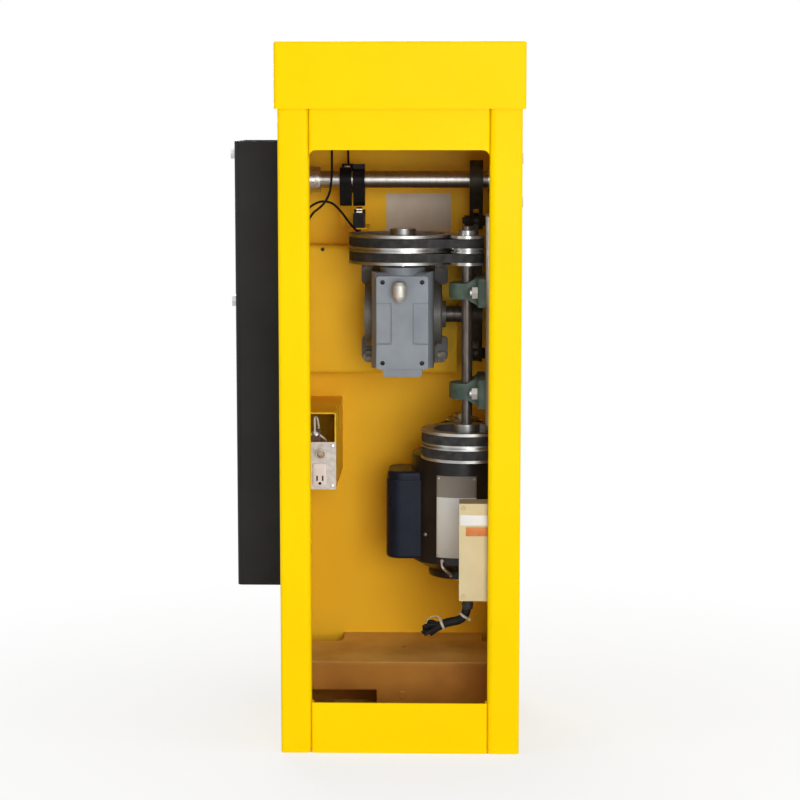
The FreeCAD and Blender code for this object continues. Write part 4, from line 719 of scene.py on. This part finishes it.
def slot_face(middle, normal):
    """True on the two blade slots and the earth hole of the outlet's face."""
    blade = blade_sides[0] < abs(middle.x) < blade_sides[1] and blade_ends[0] < middle.y < blade_ends[1]
    earth = abs(middle.x) < earth_side and earth_ends[0] < middle.y < earth_ends[1]
    return normal.z > 0.99 and (blade or earth)


pick(receptacle, "FACE", slot_face)
bpy.ops.mesh.extrude_region_move(TRANSFORM_OT_translate={"value": (0, 0, -slot_depth)})
close_up(receptacle)
ivory = new_finish("ivory", (0.80, 0.73, 0.69), 0.36, shine=0.4)
mottle(ivory, 60.0, (0.76, 0.69, 0.65), (0.83, 0.76, 0.72))
uneven_gloss(ivory, 90.0, 0.3, 0.44)
set_out(receptacle, [(outlet_side, plate_face - outlet_sink, outlet_height)], to_back(), ivory)
# Painted shade: the floors of the slots and the earth hole are black plastic.
receptacle.data.materials.append(switch_plastic)
for face in receptacle.data.polygons:
    if face.normal.y > 0.99 and face.center.y < plate_face + outlet_thick - slot_depth / 2:
        face.material_index = 1
toggle_tan = new_finish("toggle_tan", (0.42, 0.32, 0.22), 0.34, shine=0.4)
mottle(toggle_tan, 140.0, (0.36, 0.27, 0.18), (0.48, 0.37, 0.26))
uneven_gloss(toggle_tan, 160.0, 0.28, 0.42)
dress(toggle_tan, "toggle_lever")

# Terminal strip: a moulded brown bar clamped behind the switch plate's top edge, with four plated screws.
# Ribs keep the wires apart. Pale wires loop from it to the toggle's body, and the switch leads end on it.
strip_long = 0.042
strip_tall = 0.024
strip_pitch = 0.0095
strip_base = 0.0050
strip_corner = 0.0012
strip_edge = 0.0006
rib_rise = 0.0042
rib_half = 0.0009
plate_sheet = 0.002
terminal_lift = 0.0045
terminal_radius = 0.0030
terminal_rise = 0.0022
terminal_clamp = Vector((0.0022, 0.0014, 0))
wire_radius = 0.0015
tab_side = 0.004
tab_reach = 0.006
inner_lead_radius = 0.0017
strip_middle = Vector((0.1425, plate_face - plate_sheet - strip_base - rib_rise, 0.4390))
terminal_strip = flat_plate("terminal_strip", strip_long, strip_tall, strip_base, strip_corner, strip_edge)
rib_places = [(step - 2) * strip_pitch for step in range(5)]
for rib in rib_places:
    for side in (-rib_half, rib_half):
        bpy.ops.object.mode_set(mode="EDIT")
        bpy.ops.mesh.select_all(action="SELECT")
        bpy.ops.mesh.bisect(plane_co=(rib + side, 0, 0), plane_no=(1, 0, 0))


def rib_face(middle, normal):
    """True on the strips of the bar's face that rise as ribs."""
    return normal.z > 0.99 and min(abs(middle.x - rib) for rib in rib_places) < rib_half * 0.9


pick(terminal_strip, "FACE", rib_face)
bpy.ops.mesh.extrude_region_move(TRANSFORM_OT_translate={"value": (0, 0, rib_rise)})
close_up(terminal_strip)
strip_brown = new_finish("strip_brown", (0.11, 0.062, 0.03), 0.45, shine=0.3)
mottle(strip_brown, 90.0, (0.085, 0.047, 0.021), (0.14, 0.08, 0.04))
uneven_gloss(strip_brown, 120.0, 0.38, 0.55)
set_out(terminal_strip, [strip_middle], to_back(), strip_brown)
screw_places = [strip_middle + Vector(((step - 1.5) * strip_pitch, strip_base - screw_sink, terminal_lift))
                for step in range(4)]
set_out(screw_head("terminal_screw", terminal_radius, terminal_rise), screw_places, to_back(40),
        zinc_plate)
toggle_middle = Vector((0.1205, 0.010, 0.415))
toggle_body = flat_plate("toggle_body", width=0.016, height=0.022, thick=0.018, corner=0.0015, edge=0.0008)
set_out(toggle_body, [toggle_middle], to_back(), switch_plastic)
wire_pale = new_finish("wire_pale", (0.62, 0.60, 0.56), 0.42, shine=0.35)
mottle(wire_pale, 160.0, (0.55, 0.53, 0.49), (0.68, 0.66, 0.62))
uneven_gloss(wire_pale, 200.0, 0.34, 0.5)
toggle_back = toggle_middle - Vector((0, 0.0005, -0.004))
first_route = [screw_places[0] + terminal_clamp, (0.1300, 0.0262, 0.4560), (0.1312, 0.0190, 0.4710),
               (0.1262, 0.0080, 0.4650), (0.1250, 0.0040, 0.4400),
               toggle_back + Vector((tab_side, -tab_reach, 0)), toggle_back + Vector((tab_side, 0, 0))]
second_route = [screw_places[1] + Vector((-terminal_clamp.x, terminal_clamp.y, 0)), (0.1315, 0.0265, 0.4500),
                (0.1205, 0.0262, 0.4415), (0.1150, 0.0200, 0.4360), (0.1150, 0.0060, 0.4300),
                toggle_back + Vector((-tab_side, -tab_reach, 0)), toggle_back + Vector((-tab_side, 0, 0))]
round_wire("toggle_wire_1", first_route, wire_radius, wire_pale)
round_wire("toggle_wire_2", second_route, wire_radius, wire_pale)
for count, bushing in enumerate([Vector((0.154, 0.004, 0.476)), Vector((0.154, -0.010, 0.476))]):
    end = screw_places[count + 2] + terminal_clamp
    lead_route = [bushing, bushing - Vector((0, 0, 0.010)), end + Vector((0.003, -0.016, 0.014)),
                  end + Vector((0, -0.002, 0.016)), end + Vector((0, 0, 0.006)), end]
    round_wire("inner_lead_%d" % (count + 1), lead_route, inner_lead_radius, lead_sheath)

# Control box: a folded box with a flat cover in cream enamel, held by four slotted screws in the same enamel.
# The cover carries a bare white label and a bare orange one.
cover_face = 0.150
cover_screw_sides = (-0.0905, -0.1625)
cover_screw_heights = (0.3555, 0.2265)
cover_screw_radius = 0.0032
cover_screw_rise = 0.0020
label_thick = 0.00045
label_corner = 0.0010
label_edge = 0.0001
box_cream = new_finish("box_cream", (0.62, 0.51, 0.29), 0.42, shine=0.3)
mottle(box_cream, 16.0, (0.58, 0.475, 0.265), (0.65, 0.535, 0.31))
# On the cream box the dark tint on the top is dust and painted shade.
dust_and_painted_top_tone(box_cream, (0.20, 0.17, 0.12), 0.9, 30.0)
uneven_gloss(box_cream, 24.0, 0.36, 0.5)
grain(box_cream, 650.0, 0.06, 0.0005)
dress(box_cream, "control_box", "control_box_cover")
set_out(screw_head("control_cover_screw", cover_screw_radius, cover_screw_rise),
        [(side, cover_face, height) for side in cover_screw_sides for height in cover_screw_heights],
        to_back(50), box_cream)
label_paper = new_finish("label_paper", (0.78, 0.77, 0.75), 0.5, shine=0.35)
mottle(label_paper, 35.0, (0.72, 0.71, 0.69), (0.80, 0.79, 0.77))
uneven_gloss(label_paper, 60.0, 0.42, 0.58)
set_out(flat_plate("control_label", width=0.062, height=0.0145, thick=label_thick, corner=label_corner,
                   edge=label_edge),
        [(-0.1170, cover_face, 0.3380)], to_back(), label_paper)
label_orange = new_finish("label_orange", (0.60, 0.20, 0.05), 0.5, shine=0.35)
mottle(label_orange, 40.0, (0.54, 0.17, 0.04), (0.66, 0.235, 0.065))
uneven_gloss(label_orange, 60.0, 0.42, 0.58)
set_out(flat_plate("control_label_orange", width=0.052, height=0.0130, thick=label_thick, corner=label_corner,
                   edge=label_edge),
        [(-0.1200, cover_face, 0.3215)], to_back(), label_orange)

# Lead bundle under the control box: several black leads in one taped sheath, limp and cut off below.
# It leaves through a ribbed rubber boot, and bare cut ends fan out where the tape stops.
bundle_route = [(-0.0970, 0.1280, 0.2200), (-0.0970, 0.1280, 0.20115), (-0.08725, 0.1280, 0.18685),
                (-0.06775, 0.128975, 0.18425), (-0.0528, 0.12995, 0.17775), (-0.0411, 0.12995, 0.16865)]
bundle_radius = 0.0065
cut_lead_radius = 0.0026
strand_radius = 0.0007
tie_wide = 0.0034
tie_thick = 0.0011
tie_gap = 0.0002
tail_long = 0.0040
tail_inset = 0.0002
lead_bundle = round_wire("lead_bundle", bundle_route, bundle_radius, lead_sheath)
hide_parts("harness_bundle")
tie_nylon = new_finish("tie_nylon", (0.36, 0.32, 0.25), 0.45, shine=0.3)
mottle(tie_nylon, 160.0, (0.30, 0.265, 0.20), (0.42, 0.375, 0.30))
uneven_gloss(tie_nylon, 200.0, 0.38, 0.54)
tip = Vector(bundle_route[-1])
cut_ends = [(0.0105, 0.0010, 0.0005), (0.0090, -0.0045, 0.0060), (0.0070, 0.0050, -0.0012),
            (0.0030, -0.0035, -0.0022), (0.0075, 0.0045, 0.0105), (0.0035, -0.0010, 0.0140),
            (0.0085, -0.0060, 0.0025), (0.0055, 0.0030, 0.0080)]
for count, (reach, side, lift) in enumerate(cut_ends):
    lead_route = [tip + Vector((-0.0130, side * 0.6, 0.0090 + lift * 0.3)),
                  tip + Vector((-0.0030, side * 1.2, 0.0050 + lift)), tip + Vector((reach, side * 1.5, lift))]
    round_wire("cut_lead_%d" % (count + 1), lead_route, cut_lead_radius, lead_sheath)
strand_route = [(0.0040, 0.0040, 0.0080), (0.0050, 0.0060, 0.0190), (-0.0080, 0.0060, 0.0280),
                (-0.0190, 0.0040, 0.0220), (-0.0210, 0.0020, 0.0120)]
round_wire("pale_strand", [tip + Vector(point) for point in strand_route], strand_radius,
                            tie_nylon)
bpy.ops.object.select_all(action="DESELECT")
bpy.ops.mesh.primitive_cylinder_add(vertices=32, radius=bundle_radius + tie_gap, depth=tie_wide,
                                    end_fill_type="NOTHING")
bundle_tie = bpy.context.object
bundle_tie.name = "bundle_tie"
thicken(bundle_tie, tie_thick)
pick(bundle_tie, "FACE", lambda middle, normal: normal.y > 0.99 and middle.y > bundle_radius)
bpy.ops.mesh.inset(thickness=tail_inset)
bpy.ops.mesh.extrude_region_move(TRANSFORM_OT_translate={"value": (0, tail_long, 0)})
close_up(bundle_tie)


def tie_turn(axis, tail):
    """Angles that lay a tie round an axis with its tail pointing off to one side."""
    tail = (tail - axis * tail.dot(axis)).normalized()
    return [math.degrees(angle) for angle in Matrix((tail.cross(axis), tail, axis)).transposed().to_euler()]


bend_tie = copy_of(bundle_tie, "bend_tie")
for tie, step, tail in [(bundle_tie, 3, Vector((0.2, 0.3, 1))), (bend_tie, 1, Vector((-1, 0.4, -0.6)))]:
    before = Vector(bundle_route[step])
    after = Vector(bundle_route[step + 1])
    turn = tie_turn((after - before).normalized(), tail)
    set_out(tie, [(before + after) / 2], turn, tie_nylon)
boot_top = Vector(bundle_route[0])
flange_radius = 0.0098
flange_thick = 0.0022
same_level = 0.00001
bpy.ops.object.select_all(action="DESELECT")
bpy.ops.mesh.primitive_cylinder_add(vertices=40, radius=flange_radius, depth=flange_thick,
                                    location=boot_top - Vector((0, 0, flange_thick / 2)))
lead_boot = bpy.context.object
lead_boot.name = "lead_boot"
bpy.ops.object.transform_apply(location=True, rotation=True, scale=True)
boot_steps = [(0.0004, 0.88), (0.0030, 0.985), (0.0004, 0.92), (0.0012, 1.0), (0.0004, 1.07), (0.0030, 0.985),
              (0.0004, 0.92), (0.0012, 1.0), (0.0004, 1.06), (0.0028, 0.97)]
for drop, narrow in boot_steps:
    lowest = min(vertex.co.z for vertex in lead_boot.data.vertices)
    pick(lead_boot, "FACE", lambda middle, normal: normal.z < -0.9 and middle.z < lowest + same_level)
    bpy.ops.mesh.extrude_region_move(TRANSFORM_OT_translate={"value": (0, 0, -drop)})
    bpy.ops.transform.resize(value=(narrow, narrow, 1), center_override=boot_top)
    bpy.ops.object.mode_set(mode="OBJECT")
close_up(lead_boot, 50.0)
boot_rubber = new_finish("boot_rubber", (0.014, 0.013, 0.012), 0.6, shine=0.3)
mottle(boot_rubber, 150.0, (0.010, 0.009, 0.008), (0.024, 0.021, 0.018))
uneven_gloss(boot_rubber, 200.0, 0.5, 0.7)
lead_boot.data.materials.append(boot_rubber)
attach(lead_boot, "cabinet")

# Labels and front plate: a thin pressed plate with a raised rim on the front, a sticker under it,
# and a sheet label on the inside of the front wall. All three are bare.
front_face = -0.1715
inside_face = -0.1685
to_front = (90, 0, 0)
rim_wide = 0.0018
rim_rise = 0.0005
film_thick = 0.0004
front_plate = flat_plate("front_plate", width=0.087, height=0.039, thick=0.0016, corner=0.004, edge=0.0004)
pick(front_plate, "FACE", lambda middle, normal: normal.z > 0.99)
bpy.ops.mesh.inset(thickness=rim_wide, depth=0.0)
bpy.ops.mesh.extrude_region_move(TRANSFORM_OT_translate={"value": (0, 0, -rim_rise)})
close_up(front_plate)
pale_enamel = new_finish("pale_enamel", (0.66, 0.72, 0.76), 0.28, metallic=0.1)
mottle(pale_enamel, 24.0, (0.62, 0.68, 0.72), (0.70, 0.76, 0.80))
uneven_gloss(pale_enamel, 40.0, 0.22, 0.34)
set_out(front_plate, [(0.0065, front_face, 0.9015)], to_front, pale_enamel)
sticker_film = new_finish("sticker_film", (0.80, 0.75, 0.72), 0.35, shine=0.4)
mottle(sticker_film, 30.0, (0.75, 0.70, 0.67), (0.82, 0.77, 0.74))
uneven_gloss(sticker_film, 45.0, 0.28, 0.42)
set_out(flat_plate("front_sticker", width=0.0575, height=0.033, thick=film_thick, corner=0.0015,
                   edge=label_edge),
        [(0.00675, front_face, 0.8635)], to_front, sticker_film)
old_paper = new_finish("old_paper", (0.62, 0.54, 0.44), 0.5, shine=0.25)
mottle(old_paper, 18.0, (0.56, 0.48, 0.385), (0.68, 0.60, 0.50), detail=5.0)
uneven_gloss(old_paper, 40.0, 0.42, 0.6)
set_out(flat_plate("inside_label", width=0.100, height=0.058, thick=film_thick, corner=0.0020,
                   edge=label_edge),
        [(-0.020, inside_face, 0.765)], to_back(), old_paper)

# Cap: a lift-off folded lid in the cabinet's coat, held by a tongue that turns under a catch.
# The lock is a polished ring sunk in the cap's top, with a turning plug.
dress(cabinet_yellow, "cap", "lock_catch")
lock_chrome = new_finish("lock_chrome", (0.6, 0.6, 0.6), 0.15, metallic=1.0)
mottle(lock_chrome, 200.0, (0.58, 0.58, 0.58), (0.63, 0.63, 0.63))
uneven_gloss(lock_chrome, 300.0, 0.14, 0.2)
dress(lock_chrome, "cap_lock_ring", "cap_lock_plug")

# Studio: a wide matt floor that takes the object's soft shadow and fades to white, in a white surround.
# Eye and reflections see both as white, but for the floor under the cabinet; the light comes from the lamps.
footprint_half = 0.166
near_floor = 0.25
far_floor = 1.1
near_white = 0.68
bpy.ops.object.select_all(action="DESELECT")
bpy.ops.mesh.primitive_plane_add(size=40.0, location=(0, 0, 0))
studio_floor = bpy.context.object
studio_floor.name = "studio_floor"
floor_paint = bpy.data.materials.new("floor_paint")
floor_paint.use_nodes = True
tree = floor_paint.node_tree
tree.nodes.clear()
floor_out = tree.nodes.new("ShaderNodeOutputMaterial")
floor_mix = tree.nodes.new("ShaderNodeMixShader")
floor_matt = tree.nodes.new("ShaderNodeBsdfDiffuse")
floor_glow = tree.nodes.new("ShaderNodeEmission")
floor_matt.inputs["Color"].default_value = (0.86, 0.86, 0.85, 1)
floor_glow.inputs["Color"].default_value = (1, 1, 1, 1)
across, along = place_on(floor_paint)[:2]
square_reach = work_out(floor_paint, "MAXIMUM", work_out(floor_paint, "ABSOLUTE", across),
                        work_out(floor_paint, "ABSOLUTE", along))
squares = work_out(floor_paint, "ADD", work_out(floor_paint, "MULTIPLY", across, across),
                   work_out(floor_paint, "MULTIPLY", along, along))
white = fade(floor_paint, work_out(floor_paint, "SQRT", squares), near_floor, far_floor, 1.0, near_white)
beside_cabinet = work_out(floor_paint, "GREATER_THAN", square_reach, footprint_half)
white = work_out(floor_paint, "MULTIPLY", white, beside_cabinet)


def seen_directly(made):
    """One for eye and reflections, nought for the light that falls on other things."""
    rays = made.node_tree.nodes.new("ShaderNodeLightPath").outputs
    seen = work_out(made, "MAXIMUM", rays["Is Camera Ray"], rays["Is Glossy Ray"])
    return work_out(made, "MAXIMUM", seen, rays["Is Transmission Ray"])


tree.links.new(work_out(floor_paint, "MULTIPLY", white, seen_directly(floor_paint)), floor_mix.inputs["Fac"])
tree.links.new(floor_matt.outputs["BSDF"], floor_mix.inputs[1])
tree.links.new(floor_glow.outputs["Emission"], floor_mix.inputs[2])
tree.links.new(floor_mix.outputs["Shader"], floor_out.inputs["Surface"])
studio_floor.data.materials.append(floor_paint)
surround = bpy.data.worlds.new("surround")
bpy.context.scene.world = surround
surround.use_nodes = True
tree = surround.node_tree
tree.nodes.clear()
sky_out = tree.nodes.new("ShaderNodeOutputWorld")
sky_mix = tree.nodes.new("ShaderNodeMixShader")
sky_light = tree.nodes.new("ShaderNodeBackground")
sky_white = tree.nodes.new("ShaderNodeBackground")
sky_light.inputs["Color"].default_value = (1.0, 0.99, 0.97, 1)
sky_light.inputs["Strength"].default_value = 0.28
sky_white.inputs["Color"].default_value = (1, 1, 1, 1)
sky_white.inputs["Strength"].default_value = 1.0
tree.links.new(seen_directly(surround), sky_mix.inputs["Fac"])
tree.links.new(sky_light.outputs["Background"], sky_mix.inputs[1])
tree.links.new(sky_white.outputs["Background"], sky_mix.inputs[2])
tree.links.new(sky_mix.outputs["Shader"], sky_out.inputs["Surface"])
bpy.context.scene.view_settings.view_transform = "Standard"

# Camera: a long lens a few paces behind the cabinet, a little below the height of its cap
# and slightly to one side, looking into the open service side.
camera_place = (-0.0866, 3.384, 0.9226)
camera_tilt = math.radians(82.76)
camera_turn = math.radians(181.54)
bpy.ops.object.camera_add(location=camera_place, rotation=(camera_tilt, 0, camera_turn))
service_camera = bpy.context.object
service_camera.data.sensor_width = 36.0
service_camera.data.lens = 103.0
service_camera.data.clip_end = 60.0
bpy.context.scene.camera = service_camera

# Lamps: one broad soft box beside the camera that reaches into the cabinet,
# a weaker one on each side, one before the front, and one overhead.
lamp_aim = Vector((0, 0, 0.55))
for lamp_name, lamp_place, lamp_size, lamp_power in [
    ("key_lamp", (-0.78, 3.5, 0.9), 1.6, 65.0),
    ("side_lamp", (3.0, 1.6, 1.6), 1.6, 24.0),
    ("far_lamp", (-3.0, 1.2, 1.8), 1.6, 29.0),
    ("front_lamp", (0.9, -3.6, 1.7), 2.0, 88.0),
    ("top_lamp", (0.0, 0.3, 3.4), 1.8, 14.0),
]:
    bpy.ops.object.light_add(type="AREA", location=lamp_place)
    lamp = bpy.context.object
    lamp.name = lamp_name
    lamp.data.size = lamp_size
    lamp.data.energy = lamp_power
    lamp.rotation_euler = (lamp_aim - Vector(lamp_place)).to_track_quat("-Z", "Y").to_euler()
